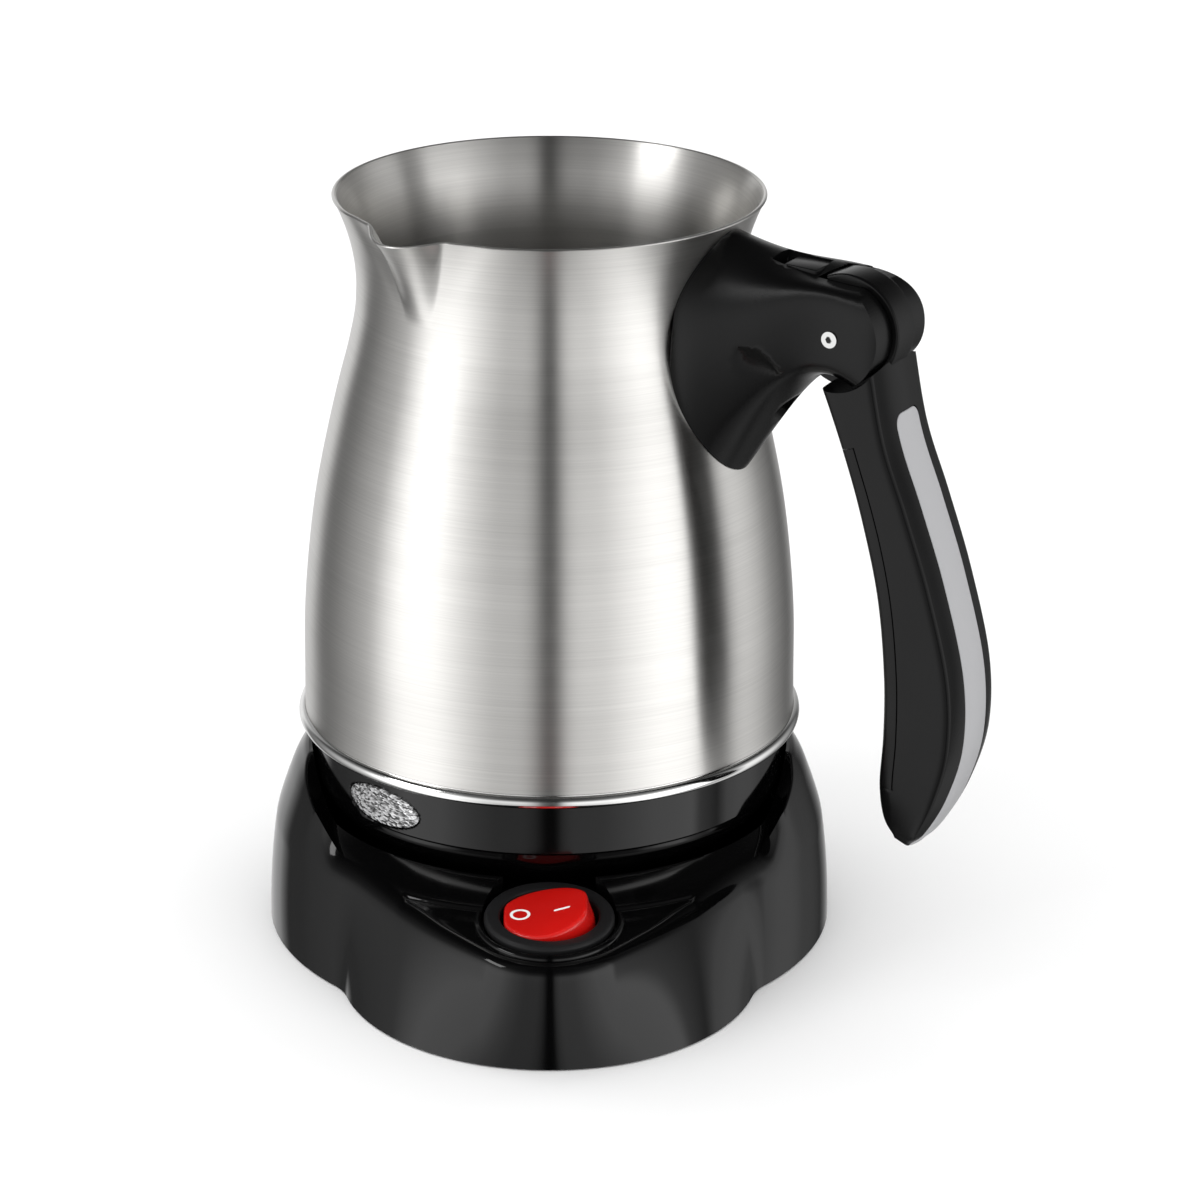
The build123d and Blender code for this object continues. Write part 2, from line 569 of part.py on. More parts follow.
def coupler_contacts():
    low = WELL_FLOOR_Z + COUPLER_FLANGE_THICK + 1
    outer = ring(COUPLER_R + CONTACT_THICK, COUPLER_R, low, COUPLER_TOP - 2.5)
    middle = ring(COUPLER_CUP_R, COUPLER_CUP_R - CONTACT_THICK, low, COUPLER_TOP - 1.5)
    pin = rod(COUPLER_PIN_R, WELL_FLOOR_Z, COUPLER_TOP - 0.5)
    return outer, middle, pin


def coupler_screws():
    seat = WELL_FLOOR_Z + COUPLER_FLANGE_THICK
    screw = rod(COUPLER_SCREW_R + 0.9, seat, seat + 1) + rod(COUPLER_SCREW_R, WELL_CEILING - 3, seat + 0.5)
    return [place * screw for place in round_about(3, COUPLER_SCREW_PCR, 30)]


def turn_ring():
    return ring(TURN_RING_OUT, TURN_RING_IN, WELL_FLOOR_Z + REST_GAP, SKIRT_BOTTOM_Z - REST_GAP)


def switch_body():
    """Round bezel with its snap-in body, open where the rocker swings."""
    bezel = rod(BEZEL_R, 0, BEZEL_HIGH)
    bezel = chamfer(bezel.faces().sort_by(Axis.Z)[-1].edges(), 0.6)
    body = bezel + rod(SWITCH_HOLE_R - SEAT_GAP, -SWITCH_DEEP, 0.5)
    body -= rod(ROCKER_OPENING_R, -6.5, BEZEL_HIGH + 1)
    for side in (-1, 1):
        body -= cross_rod(TRUNNION_R + RUN_GAP, 0, ROCKER_PIVOT_Z, side * 8 - 1.5, side * 8 + 1.5)
    return switch_place() * body


def switch_terminals():
    blade = Pos(0, 0, -SWITCH_DEEP - 2.5) * Box(0.8, 4.8, 5)
    return [switch_place() * Pos(x, 0, 0) * blade for x in (-5, 0, 5)]


def rocker():
    """Round rocker cap with a dished top, drawn level and then tilted to its off side."""
    top = ROCKER_PIVOT_Z + 1 + ROCKER_TOP
    cap = rod(ROCKER_R, ROCKER_PIVOT_Z - 3.2, top)
    cap = cap & cross_rod(ROCKER_R + 0.5, 0, ROCKER_PIVOT_Z, -20, 20)
    dish_r = (ROCKER_R ** 2 + ROCKER_DISH ** 2) / (2 * ROCKER_DISH)
    cap -= cross_rod(dish_r, 0, top - ROCKER_DISH + dish_r, -20, 20)
    cap += cross_rod(TRUNNION_R, 0, ROCKER_PIVOT_Z, -ROCKER_OPENING_R - 0.3, ROCKER_OPENING_R + 0.3)
    tilt = Pos(0, 0, ROCKER_PIVOT_Z) * Rot(0, -ROCKER_THROW / 2, 0) * Pos(0, 0, -ROCKER_PIVOT_Z)
    return switch_place() * tilt * cap


def cord_gland():
    seat = gland_seat() + SEAT_GAP
    flange = cross_rod(GLAND_FLANGE_R, 0, GLAND_Z, seat, seat + GLAND_FLANGE_THICK)
    body = cross_rod(GLAND_R, 0, GLAND_Z, seat - GLAND_LONG, seat + 0.5)
    return flange + body - cross_rod(GLAND_BORE_R, 0, GLAND_Z, 0, BASE_R + 10)


def clamp_xs():
    offset = CLAMP_WIDE / 2 - 2.5
    return -offset, offset


def clamp_z():
    """Underside of the cord clamp's bar."""
    return GLAND_Z + GLAND_BORE_R


def cord_clamp():
    bar = Pos(0, CLAMP_OUT, clamp_z() + CLAMP_THICK / 2) * Box(CLAMP_WIDE, CLAMP_DEEP, CLAMP_THICK)
    for x in clamp_xs():
        bar -= Pos(x, CLAMP_OUT, 0) * rod(CLAMP_SCREW_R + SEAT_GAP, 0, 40)
    return bar


def cord_clamp_screws():
    seat = clamp_z() + CLAMP_THICK
    screw = rod(CLAMP_SCREW_R + 0.9, seat, seat + 1) + rod(CLAMP_SCREW_R, seat - 8, seat + 0.5)
    return [Pos(x, CLAMP_OUT, 0) * screw for x in clamp_xs()]


# ------------------------------------------------------------------ handle bracket
KNUCKLE_TOP = PIN_Z + KNUCKLE_R
SLOT_HALF = TONGUE_HALF + MOVE_GAP

# from the recess in the underside up to the boss on the pot
SCREW_AXIS = Pos(PIN_X - RECESS_BACK, 0, PIN_Z - RECESS_DROP) * Rot(0, -RECESS_TILT, 0)


def arm_section(x, low, high, half, square):
    """Section of the arm: egg-shaped at square 0, nearly a rounded rectangle at square 1."""
    tall = high - low
    plane = Plane((x, 0, 0), x_dir=(0, 1, 0), z_dir=(1, 0, 0))
    top = (half * (0.60 + 0.22 * square), high - tall * (0.10 - 0.035 * square))
    flank = (half, low + tall * (0.62 - 0.10 * square))
    heel = (half * (0.79 + 0.11 * square), low + tall * (0.24 - 0.10 * square))
    points = [(0, high), top, flank, heel, (0, low), (-heel[0], heel[1]), (-flank[0], flank[1]), (-top[0], top[1])]
    return plane * make_face(Spline(*points, periodic=True))


def arm_form():
    """Arm that sweeps from the saddle on the pot to the round end of the knuckle."""
    stations = [
        (PIN_X - 29.9, SADDLE_LOW_Z - 4.8, SADDLE_TOP_Z + 1.2, SADDLE_HALF + 0.2, 0),
        (PIN_X - 23.9, SADDLE_LOW_Z + 1.0, SADDLE_TOP_Z - 1.0, SADDLE_HALF, 0),
        (PIN_X - 18.4, SADDLE_LOW_Z + 9.4, SADDLE_TOP_Z - 2.8, SADDLE_HALF - 1.0, 0.15),
        (PIN_X - 11.9, SADDLE_LOW_Z + 19.0, SADDLE_TOP_Z - 4.4, SADDLE_HALF - 2.2, 0.45),
        (PIN_X - 4.5, PIN_Z - 9.0, KNUCKLE_TOP + 0.5, KNUCKLE_HALF + 0.2, 0.9),
        (PIN_X + 2.5, PIN_Z - 9.6, KNUCKLE_TOP, KNUCKLE_HALF, 1),
        (PIN_X + KNUCKLE_R + 1, PIN_Z - 9.6, KNUCKLE_TOP, KNUCKLE_HALF - 0.4, 1),
    ]
    arm = loft([arm_section(*station) for station in stations])
    behind_pin = Pos(PIN_X - 50, 0, PIN_Z) * Box(100, 60, 100)
    return arm & (behind_pin + cross_rod(KNUCKLE_R, PIN_X, PIN_Z, -30, 30))


def rounded_tongue():
    barrel = cross_rod(TONGUE_R, PIN_X, PIN_Z, -TONGUE_HALF, TONGUE_HALF)
    return fillet(barrel.edges().filter_by(GeomType.CIRCLE), 0.5)


def plate_form(grow):
    """Curved steel strap on the neck, with the boss that takes the bracket's screw."""
    thick = BRACKET_PLATE_THICK + 2 * grow
    band = pot_form(SADDLE_GAP - grow + thick) - pot_form(SADDLE_GAP - grow)
    window = Box(NECK_R, 2 * (BRACKET_PLATE_HALF + grow), BRACKET_PLATE_HIGH + 2 * grow)
    strap = band & (Pos(NECK_R, 0, BRACKET_PLATE_Z) * window)
    boss = SCREW_AXIS * rod(BRACKET_BOSS_R + grow, 8.5 - grow, 8.5 + BRACKET_BOSS_LONG + grow)
    return strap + (boss - pot_form(SADDLE_GAP - grow))


def bracket_plate():
    return biggest(plate_form(0) - SCREW_AXIS * rod(BRACKET_SCREW_R + SEAT_GAP, 0, 14))


def bracket_screw():
    return SCREW_AXIS * (rod(BRACKET_SCREW_HEAD_R, 4.5, 6.5) + rod(BRACKET_SCREW_R, 6, 13.5))


def latch_low():
    """Height of the latch's underside, over the tongue's rim."""
    return PIN_Z + 4.2


def latch_start():
    return PIN_X - TONGUE_R - 2.4


def handle_bracket():
    arm = arm_form() - pot_form(SADDLE_GAP)
    slot_deep = cross_rod(TONGUE_R + 0.35, PIN_X, PIN_Z, -SLOT_HALF, SLOT_HALF)
    slot_out = Pos(PIN_X + 8, 0, PIN_Z) * Box(16, 2 * SLOT_HALF, 60)
    arm -= slot_deep + slot_out
    bay_long = LATCH_LONG + LATCH_TRAVEL + 0.5
    bay_x = latch_start() - LATCH_TRAVEL - 0.5 + bay_long / 2
    arm -= Pos(bay_x, 0, latch_low() - 0.2 + 15) * Box(bay_long, 2 * (LATCH_HALF + 0.15), 30)
    spring_end = latch_start() - SPRING_LONG
    arm -= Pos(spring_end + 5, 0, spring_z()) * Rot(0, 90, 0) * Cylinder(SPRING_R + 0.5, 10)
    arm -= cross_rod(PIN_R + SEAT_GAP, PIN_X, PIN_Z, -20, 20)
    arm -= cross_rod(NUT_R + 0.1, PIN_X, PIN_Z, KNUCKLE_HALF - NUT_THICK, KNUCKLE_HALF + 2)
    arm -= plate_form(0.1)
    arm -= SCREW_AXIS * rod(BRACKET_SCREW_R + SEAT_GAP, 0, 14)
    arm -= SCREW_AXIS * rod(BRACKET_SCREW_HEAD_R + 0.4, -12, 6.5)
    for side in (-1, 1):
        dish = Pos(PIN_X - DIMPLE_BACK, side * (SADDLE_HALF - DIMPLE_DEEP), PIN_Z - DIMPLE_DROP)
        arm -= dish * Rot(-side * 90, 0, 0) * Rot(0, DIMPLE_TILT, 0) * rod(DIMPLE_R, 0, 8)
    return biggest(arm)


def spring_z():
    return latch_low() + 2.4


def hinge_pin():
    pin = cross_rod(PIN_R, PIN_X, PIN_Z, -KNUCKLE_HALF - 0.2, KNUCKLE_HALF - 0.1)
    socket = Pos(PIN_X, -KNUCKLE_HALF - 0.2, PIN_Z) * Rot(90, 0, 0) * RegularPolygon(0.7, 6)
    return pin - extrude(socket, 0.8, both=True)


def pin_nut():
    nut = cross_rod(NUT_R, PIN_X, PIN_Z, KNUCKLE_HALF - NUT_THICK + SEAT_GAP, KNUCKLE_HALF)
    return nut - cross_rod(PIN_R + SEAT_GAP, PIN_X, PIN_Z, 0, 20)


def release_latch():
    """Thumb slide whose nose hangs over the tongue's rim."""
    start, low = latch_start(), latch_low()
    top_back, top_front = SADDLE_TOP_Z - 4.7, KNUCKLE_TOP + 0.9
    outline = Polyline((start, 0, low), (start, 0, top_back), (start + LATCH_LONG, 0, top_front),
                       (start + LATCH_LONG, 0, low), close=True)
    block = extrude(make_face(outline.edges()), LATCH_HALF, both=True)
    block -= cross_rod(TONGUE_R + 0.35, PIN_X, PIN_Z, -10, 10)
    return biggest(block)


def latch_spring():
    """Compression spring of square wire between the bracket and the back of the latch."""
    start = latch_start() - SPRING_LONG + SPRING_WIRE_R + 0.1
    long = SPRING_LONG - 2 * SPRING_WIRE_R - 0.2
    path = Helix(long / SPRING_TURNS, long, SPRING_R)
    wire = sweep(Plane(path @ 0, z_dir=path % 0) * RegularPolygon(SPRING_WIRE_R, 4), path=path)
    return Pos(start, 0, spring_z()) * Rot(0, 90, 0) * wire


# ------------------------------------------------------------------ grip
def grip_section(inner, outer, half):
    """D-shaped section: crowned back, two soft ridges and a rounder inner side."""
    deep = math.dist(inner, outer)
    across = (outer[0] - inner[0], 0, outer[1] - inner[1])
    plane = Plane((inner[0], 0, inner[1]), x_dir=across, z_dir=(across[2], 0, -across[0]))
    drop = GRIP_RIDGE_DROP * half / GRIP_HALF
    ridge, heel = (deep - drop, half * 0.93), (deep * 0.16, half * 0.80)
    middle = (deep * 0.55, half)
    back = ThreePointArc((ridge[0], -ridge[1]), (deep, 0), ridge)
    side = ThreePointArc(ridge, middle, heel)
    inside = ThreePointArc(heel, (0, 0), (heel[0], -heel[1]))
    other = ThreePointArc((heel[0], -heel[1]), (middle[0], -middle[1]), (ridge[0], -ridge[1]))
    return plane * make_face([back, side, inside, other])


def grip_form():
    halves = [GRIP_HALF] * (len(GRIP_EDGES) - 3) + [GRIP_HALF - 0.6, GRIP_HALF - 2.2, GRIP_TIP_HALF]
    sections = [grip_section(inner, outer, half) for (inner, outer), half in zip(GRIP_EDGES, halves)]
    body = loft(sections)
    return body - cross_rod(KNUCKLE_R + 0.6, PIN_X, PIN_Z, -20, 20)


def cover_zone():
    """Strip along the inner edge, from below the neck down to the tip."""
    inner = [edge[0] for edge in GRIP_EDGES[1:-2]]
    deep = [(x + COVER_STRIP, 0, z) for x, z in inner]
    wide = [(x - 12, 0, z) for x, z in inner]
    front = Spline(*deep)
    rest = Polyline(deep[-1], wide[-1], *reversed(wide[:-1]), deep[0])
    return extrude(make_face([front, *rest.edges()]), 20, both=True)


def inlay_zone():
    """Slot-shaped column that marks the inlay on the back, open at the tip."""
    high = INLAY_TOP_Z - 20
    plane = Plane((GRIP_EDGES[2][1][0] - 7.5, 0, 0), x_dir=(0, 1, 0), z_dir=(1, 0, 0))
    outline = Pos(0, high / 2 + 20) * RectangleRounded(2 * INLAY_HALF, high, 2.2)
    return extrude(plane * outline, 40)


def grip_screw_places():
    """Screw axes along +X, with each head's seat on the inner cover."""
    seats = [GRIP_EDGES[2][0], GRIP_EDGES[5][0]]
    return [Pos(x + 1.2, 0, z) * Rot(0, 90, 0) for x, z in seats]


def grip_parts():
    form = grip_form()
    inset_form = Pos(-INLAY_THICK, 0, INLAY_THICK * 0.55) * form
    inlay = biggest((form & inlay_zone()) - inset_form)
    cover = biggest(form & cover_zone())
    body = form - inlay - cover
    tongue = rounded_tongue()
    neck_long = 14.0
    neck = Pos(PIN_X, 0, PIN_Z) * Rot(0, 62, 0) * Pos(neck_long / 2, 0, 0) * Box(neck_long, 2 * TONGUE_HALF, 9)
    for angle in (120, 210):
        notch = Pos(PIN_X, 0, PIN_Z) * Rot(0, -angle, 0) * Pos(TONGUE_R, 0, 0)
        tongue -= notch * Box(1.6, 20, 2.4)
    body = body + tongue + neck
    body -= cross_rod(BUSH_R + SEAT_GAP, PIN_X, PIN_Z, -20, 20)
    for place in grip_screw_places():
        body -= place * rod(GRIP_SCREW_R + SEAT_GAP, 0, 9)
        body -= place * rod(GRIP_SCREW_HEAD_R + 0.15, -10, 0.1)
        cover -= place * rod(GRIP_SCREW_R + SEAT_GAP, -10, 9)
        cover -= place * rod(GRIP_SCREW_HEAD_R + 0.15, -10, 0)
    return biggest(body), biggest(cover), inlay


def grip_screws():
    screw = rod(GRIP_SCREW_HEAD_R, -1.2, 0) + rod(GRIP_SCREW_R, -0.5, 8.5)
    return [place * screw for place in grip_screw_places()]


def hinge_bush():
    bush = cross_rod(BUSH_R, PIN_X, PIN_Z, -TONGUE_HALF, TONGUE_HALF)
    return bush - cross_rod(PIN_R + RUN_GAP, PIN_X, PIN_Z, -20, 20)


# ------------------------------------------------------------------ write the nodes
def main():
    turn = Rot(0, 0, BASE_TURN)
    save("base_housing", turn * base_housing())
    save("base_bottom_cover", turn * base_bottom_cover())
    save("rubber_feet", *[turn * foot for foot in rubber_feet()])
    save("bottom_cover_screws", *[turn * screw for screw in bottom_cover_screws()])
    save("coupler_socket", turn * coupler_socket())
    save("coupler_contacts", *[turn * contact for contact in coupler_contacts()])
    save("coupler_screws", *[turn * screw for screw in coupler_screws()])
    save("switch_body", turn * switch_body())
    save("switch_terminals", *[turn * blade for blade in switch_terminals()])
    save("cord_gland", turn * cord_gland())
    save("cord_clamp", turn * cord_clamp())
    save("cord_clamp_screws", *[turn * screw for screw in cord_clamp_screws()])
    save("rocker", turn * rocker())
    save("turn_ring", turn * turn_ring())

    save("pot_shell", pot_shell())
    save("bead_ring", bead_ring())
    save("heater_skirt", heater_skirt())
    save("skirt_gasket", ring(SKIRT_R, SKIRT_R - SKIRT_WALL, SKIRT_TOP_Z, POT_UNDERSIDE))
    save("heating_plate", heating_plate())
    save("heating_element", element_tube(ELEMENT_TUBE_R))
    save("element_terminals", *element_terminals())
    save("thermostat", rod(THERMOSTAT_R, CONNECTOR_TOP, PLATE_LOW))
    save("thermal_fuse", cross_rod(FUSE_R, -FUSE_OUT, PLATE_LOW - FUSE_R - 0.05, -FUSE_LONG / 2, FUSE_LONG / 2))
    save("skirt_screws", *skirt_screws())
    save("pot_connector", pot_connector())
    save("connector_contacts", *connector_contacts())
    save("indicator_lens", indicator_lens())
    save("indicator_lamp", indicator_lamp())

    save("handle_bracket", handle_bracket())
    save("bracket_plate", bracket_plate())
    save("bracket_screw", bracket_screw())
    save("hinge_pin", hinge_pin())
    save("pin_nut", pin_nut())
    save("release_latch", release_latch())
    save("latch_spring", latch_spring())

    body, cover, inlay = grip_parts()
    save("grip_body", body)
    save("grip_inner_cover", cover)
    save("grip_inlay", inlay)
    save("grip_screws", *grip_screws())
    save("hinge_bush", hinge_bush())


main()
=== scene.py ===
"""Looks of an electric turkish coffee maker: a brushed steel pot on a gloss black powered base.

Lengths inside the functions are millimetres in the part's own frame; the sidebar shows them in scene units.
The base is worked out with its switch towards -Y and then turned by its own angle.
"""
import math

import bpy
import numpy as np
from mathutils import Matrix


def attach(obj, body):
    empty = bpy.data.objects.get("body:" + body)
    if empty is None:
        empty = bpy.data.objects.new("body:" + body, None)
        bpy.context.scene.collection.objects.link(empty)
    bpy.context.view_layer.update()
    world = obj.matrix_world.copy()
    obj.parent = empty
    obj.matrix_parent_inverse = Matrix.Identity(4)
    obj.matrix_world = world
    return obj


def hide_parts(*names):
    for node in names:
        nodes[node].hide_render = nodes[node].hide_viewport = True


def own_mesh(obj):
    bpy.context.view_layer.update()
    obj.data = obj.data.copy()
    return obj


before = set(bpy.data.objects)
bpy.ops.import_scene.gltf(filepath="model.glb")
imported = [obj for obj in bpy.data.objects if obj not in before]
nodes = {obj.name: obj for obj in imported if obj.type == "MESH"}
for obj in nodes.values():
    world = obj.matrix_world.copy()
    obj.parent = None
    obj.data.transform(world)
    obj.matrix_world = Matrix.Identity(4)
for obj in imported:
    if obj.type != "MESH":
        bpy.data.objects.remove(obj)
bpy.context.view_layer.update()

bl_info = {
    "name": "Turkish Coffee Maker Looks",
    "version": (1, 0, 0),
    "blender": (4, 5, 0),
    "location": "View3D > Sidebar > Coffee Maker",
    "description": "Surfaces, finishes and studio of an electric turkish coffee maker",
    "category": "Object",
}

MM = 0.001
TAU = 2 * math.pi

# Angles about the pot's axis, from +X.
SPOUT_ANGLE = math.radians(-99.0)
LENS_ANGLE = math.radians(-102.0)
BASE_TURN = math.radians(32.0)

# Radius of the innermost ring of a turned disc, which a cap closes.
HUB = 0.3


# ------------------------------------------------------------------ sizes and colours
def number(name, description, value, **settings):
    """A number in the sidebar."""
    return bpy.props.FloatProperty(name=name, description=description, default=value, **settings)


def length(name, description, millimetres):
    """A size in the sidebar, kept in metres."""
    return number(name, description, millimetres * MM, unit="LENGTH", precision=5, step=0.01)


def degrees(name, description, value):
    """An angle in the sidebar, kept in radians."""
    return number(name, description, math.radians(value), unit="ROTATION")


def colour(name, description, red, green, blue):
    """A colour in the sidebar."""
    return bpy.props.FloatVectorProperty(name=name, description=description, default=(red, green, blue),
                                         subtype="COLOR", size=3, min=0.0, max=1.0)


class PotSizes(bpy.types.PropertyGroup):
    """Sizes of the steel pot and the skirt under it."""
    wall: length("Wall", "Thickness of the steel", 0.7)
    foot_radius: length("Foot radius", "Outside of the belly at its lower edge", 47.3)
    foot_height: length("Foot height", "Height of the belly's lower edge over the floor", 42.3)
    floor_up: length("Floor set-up", "Underside of the pot's floor over its lower edge", 1.6)
    neck_radius: length("Neck radius", "Narrowest outside radius", 35.9)
    neck_height: length("Neck height", "Height of the narrowest place", 128.0)
    rim_radius: length("Rim radius", "Outside of the rim", 40.15)
    rim_height: length("Rim height", "Height of the rim", 145.35)
    spout_reach: length("Spout reach", "How far the lip stands out of the rim", 4.4)
    spout_half: degrees("Spout half angle", "Half the angle that the spout takes of the rim", 13.5)
    bead_radius: length("Bead radius", "Outside of the trim ring", 48.45)
    skirt_radius: length("Skirt radius", "Outside of the black skirt", 45.4)
    lens_width: length("Lens width", "Width of the oval window", 18.5)
    lens_height: length("Lens height", "Height of the oval window", 7.0)
    lens_level: length("Lens level", "Height of the window's middle", 35.5)


class BaseSizes(bpy.types.PropertyGroup):
    """Sizes of the powered base and its switch."""
    foot_radius: length("Foot radius", "Round back of the floor outline", 55.0)
    lobe_radius: length("Lobe radius", "Round front of the floor outline", 39.6)
    lobe_out: length("Lobe place", "Distance of the lobe's middle from the pot's axis", 30.9)
    blend: length("Hollow radius", "Hollow between the round back and the lobe", 12.0)
    crest_radius: length("Crest radius", "Edge between wall and shoulder", 53.0)
    crest_height: length("Crest height", "Height of that edge", 23.0)
    crest_round: length("Crest round", "How far the wall's edge is rounded", 2.8)
    collar_height: length("Collar height", "Top of the collar round the well", 35.4)
    well_radius: length("Well radius", "Radius of the well", 45.9)
    well_floor: length("Well floor", "Height of the well's floor", 19.0)
    wall: length("Wall", "Thickness of the moulding", 2.2)
    panel_height: length("Panel height", "Height of the front panel at the switch", 21.9)
    panel_slope: degrees("Panel slope", "Slope of the front panel", 5.0)
    panel_edge: length("Panel rise", "Height of the front panel where it meets the well", 27.1)
    switch_out: length("Switch place", "Distance of the switch from the pot's axis", 54.0)
    nose_radius: length("Nose radius", "Edge of the top in front of the switch", 16.1)
    boss_radius: length("Boss radius", "Outside of the rim round the switch", 13.8)
    bezel_radius: length("Bezel radius", "Outside of the switch's bezel", 12.0)
    rocker_radius: length("Rocker radius", "Radius of the rocker cap", 8.5)
    rocker_tilt: degrees("Rocker tilt", "How far the rocker leans to its off side", 11.0)


class HandleSizes(bpy.types.PropertyGroup):
    """Sizes of the bracket on the pot and the folding grip."""
    pin_out: length("Pin distance", "Distance of the hinge pin from the pot's axis", 63.9)
    pin_height: length("Pin height", "Height of the hinge pin", 129.5)
    tongue_radius: length("Tongue radius", "Round end of the grip between the cheeks", 10.4)
    tongue_half: length("Tongue half width", "Half the thickness of the tongue", 3.3)
    grip_half: length("Grip half width", "Half the width of the grip", 9.0)
    inlay_half: length("Inlay half width", "Half the width of the grey inlay", 4.2)


class FinishColours(bpy.types.PropertyGroup):
    """Colours of the finishes that show."""
    steel: colour("Brushed steel", "Body of the pot", 0.66, 0.65, 0.63)
    gloss_black: colour("Gloss black", "Base and skirt", 0.0012, 0.0012, 0.0013)
    satin_black: colour("Satin black", "Bracket and grip", 0.0022, 0.0022, 0.0023)
    inlay: colour("Inlay grey", "Strip on the back of the grip", 0.4, 0.4, 0.41)
    red: colour("Rocker red", "Rocker cap", 0.62, 0.008, 0.006)
    marks: colour("Marks", "Ring and bar on the rocker", 0.92, 0.92, 0.92)
    floor: colour("Floor", "Studio floor", 0.94, 0.94, 0.94)


class StudioSettings(bpy.types.PropertyGroup):
    """Camera and light."""
    camera_turn: degrees("Camera azimuth", "Turn of the camera from the front of the part's frame", 32.0)
    camera_pitch: degrees("Camera pitch", "How far the camera looks down", 21.3)
    camera_distance: length("Camera distance", "Level distance from the pot's axis", 680.0)
    camera_height: length("Camera height", "Height of the camera over the floor", 329.25)
    lens: number("Lens", "Focal length on a 36 mm sensor", 113.94, unit="CAMERA")
    shift: number("Shift", "Sideways shift of the frame", 0.0422)
    light: number("Light", "Strength of all lamps", 0.12, min=0.0)
    air: number("Air", "Strength of the even white light", 0.98, min=0.0)
    mirror: number("Mirrored walls", "Strength of the walls that gloss mirrors", 1.0, min=0.0)


class Millimetres:
    """The values of a size group as plain numbers: lengths in millimetres, angles in radians."""

    def __init__(self, group):
        for name in type(group).__annotations__:
            value = getattr(group, name)
            is_length = group.bl_rna.properties[name].unit == "LENGTH"
            setattr(self, name, value / MM if is_length else value)


# ------------------------------------------------------------------ meshes
def skin(name, points, closed_rows=False):
    """Mesh over a grid of points (rows, columns, xyz), closed round its columns.

    Each cell of four neighbours is one face. The rows close round too, or else a cap joins each end row to
    its mean point. The whole is turned right side out by the sign of its volume, the sum of a . (b x c) / 6
    over its triangles.
    """
    rows, columns = points.shape[:2]
    verts = points.reshape(-1, 3)
    row = np.arange(rows if closed_rows else rows - 1)[:, None]
    column = np.arange(columns)
    right = (column + 1) % columns
    here, above = row * columns, (row + 1) % rows * columns
    quads = np.stack([here + column, here + right, above + right, above + column], -1).reshape(-1, 4)
    fans = np.zeros((0, 3), int)
    if not closed_rows:
        last = (rows - 1) * columns
        middle = np.full(columns, rows * columns)
        first_fan = np.stack([middle, right, column], -1)
        last_fan = np.stack([last + column, last + right, middle + 1], -1)
        fans = np.vstack([first_fan, last_fan])
        verts = np.vstack([verts, verts[:columns].mean(0), verts[last:].mean(0)])
    corners = np.vstack([quads[:, [0, 1, 2]], quads[:, [0, 2, 3]], fans])
    a, b, c = (verts[corners[:, i]] for i in range(3))
    if np.einsum("ij,ij->", a, np.cross(b, c)) < 0:
        quads, fans = quads[:, ::-1], fans[:, ::-1]
    mesh = bpy.data.meshes.new(name)
    mesh.from_pydata((verts * MM).tolist(), [], quads.tolist() + fans.tolist())
    return place(name, mesh)


def place(name, mesh):
    """Object for a finished mesh, at the origin."""
    mesh.validate()
    piece = bpy.data.objects.new(name, mesh)
    bpy.context.scene.collection.objects.link(piece)
    return piece


def soften(piece, angle=35.0):
    """Smooth shading with edges kept sharp over an angle."""
    piece.data.shade_smooth()
    piece.data.set_sharp_from_angle(angle=math.radians(angle))


def apply_modifiers(piece):
    """The piece's mesh becomes what its modifiers make of it."""
    bpy.context.view_layer.update()
    evaluated = piece.evaluated_get(bpy.context.evaluated_depsgraph_get())
    mesh = bpy.data.meshes.new_from_object(evaluated)
    piece.modifiers.clear()
    old = piece.data
    piece.data = mesh
    bpy.data.meshes.remove(old)


def combine(piece, operation, *tools):
    """Joins the tools to the piece or takes them out of it, and deletes them."""
    for tool in tools:
        modifier = piece.modifiers.new("combine", "BOOLEAN")
        modifier.operation, modifier.solver, modifier.object = operation, "EXACT", tool
        apply_modifiers(piece)
        bpy.data.objects.remove(tool)


def finish_piece(piece, body, slot, material, *replaced, angle=35.0):
    """Shading, material and the body that the piece rides on; the slot argument is not used."""
    soften(piece, angle)
    piece.data.materials.clear()
    piece.data.materials.append(material)
    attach(piece, body)
    if replaced:
        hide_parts(*replaced)
    return piece


def copy_of_node(node, name):
    """Welded copy of a packed solid."""
    piece = place(name, nodes[node].data.copy())
    weld = piece.modifiers.new("weld", "WELD")
    weld.merge_threshold = 1e-6
    apply_modifiers(piece)
    return piece


# ------------------------------------------------------------------ curves in numpy
def through(places, values, at):
    """Smooth curve through values at rising places.

    It is made of cubic pieces whose slope at a place is the weighted mean of the slopes on its two sides.
    """
    places, values, at = np.asarray(places, float), np.asarray(values, float), np.asarray(at, float)
    shape = (-1,) + (1,) * (values.ndim - 1)
    steps = np.diff(places)
    slopes = np.diff(values, axis=0) / steps.reshape(shape)
    weight = (steps[1:] / (steps[1:] + steps[:-1])).reshape(shape)
    inner = weight * slopes[:-1] + (1 - weight) * slopes[1:]
    tangents = np.concatenate([slopes[:1], inner, slopes[-1:]])
    i = np.clip(np.searchsorted(places, at, side="right") - 1, 0, len(steps) - 1)
    spread = (...,) + (None,) * (values.ndim - 1)
    h = steps[i][spread]
    t = (at - places[i])[spread] / h
    return ((2 * t ** 3 - 3 * t ** 2 + 1) * values[i] + (t ** 3 - 2 * t ** 2 + t) * h * tangents[i]
            + (3 * t ** 2 - 2 * t ** 3) * values[i + 1] + (t ** 3 - t ** 2) * h * tangents[i + 1])


def arc(centre, radius, start, end, count):
    """Points on a circle from one angle to another, in degrees."""
    angle = np.radians(np.linspace(start, end, count))
    return np.stack([centre[0] + radius * np.cos(angle), centre[1] + radius * np.sin(angle)], -1)


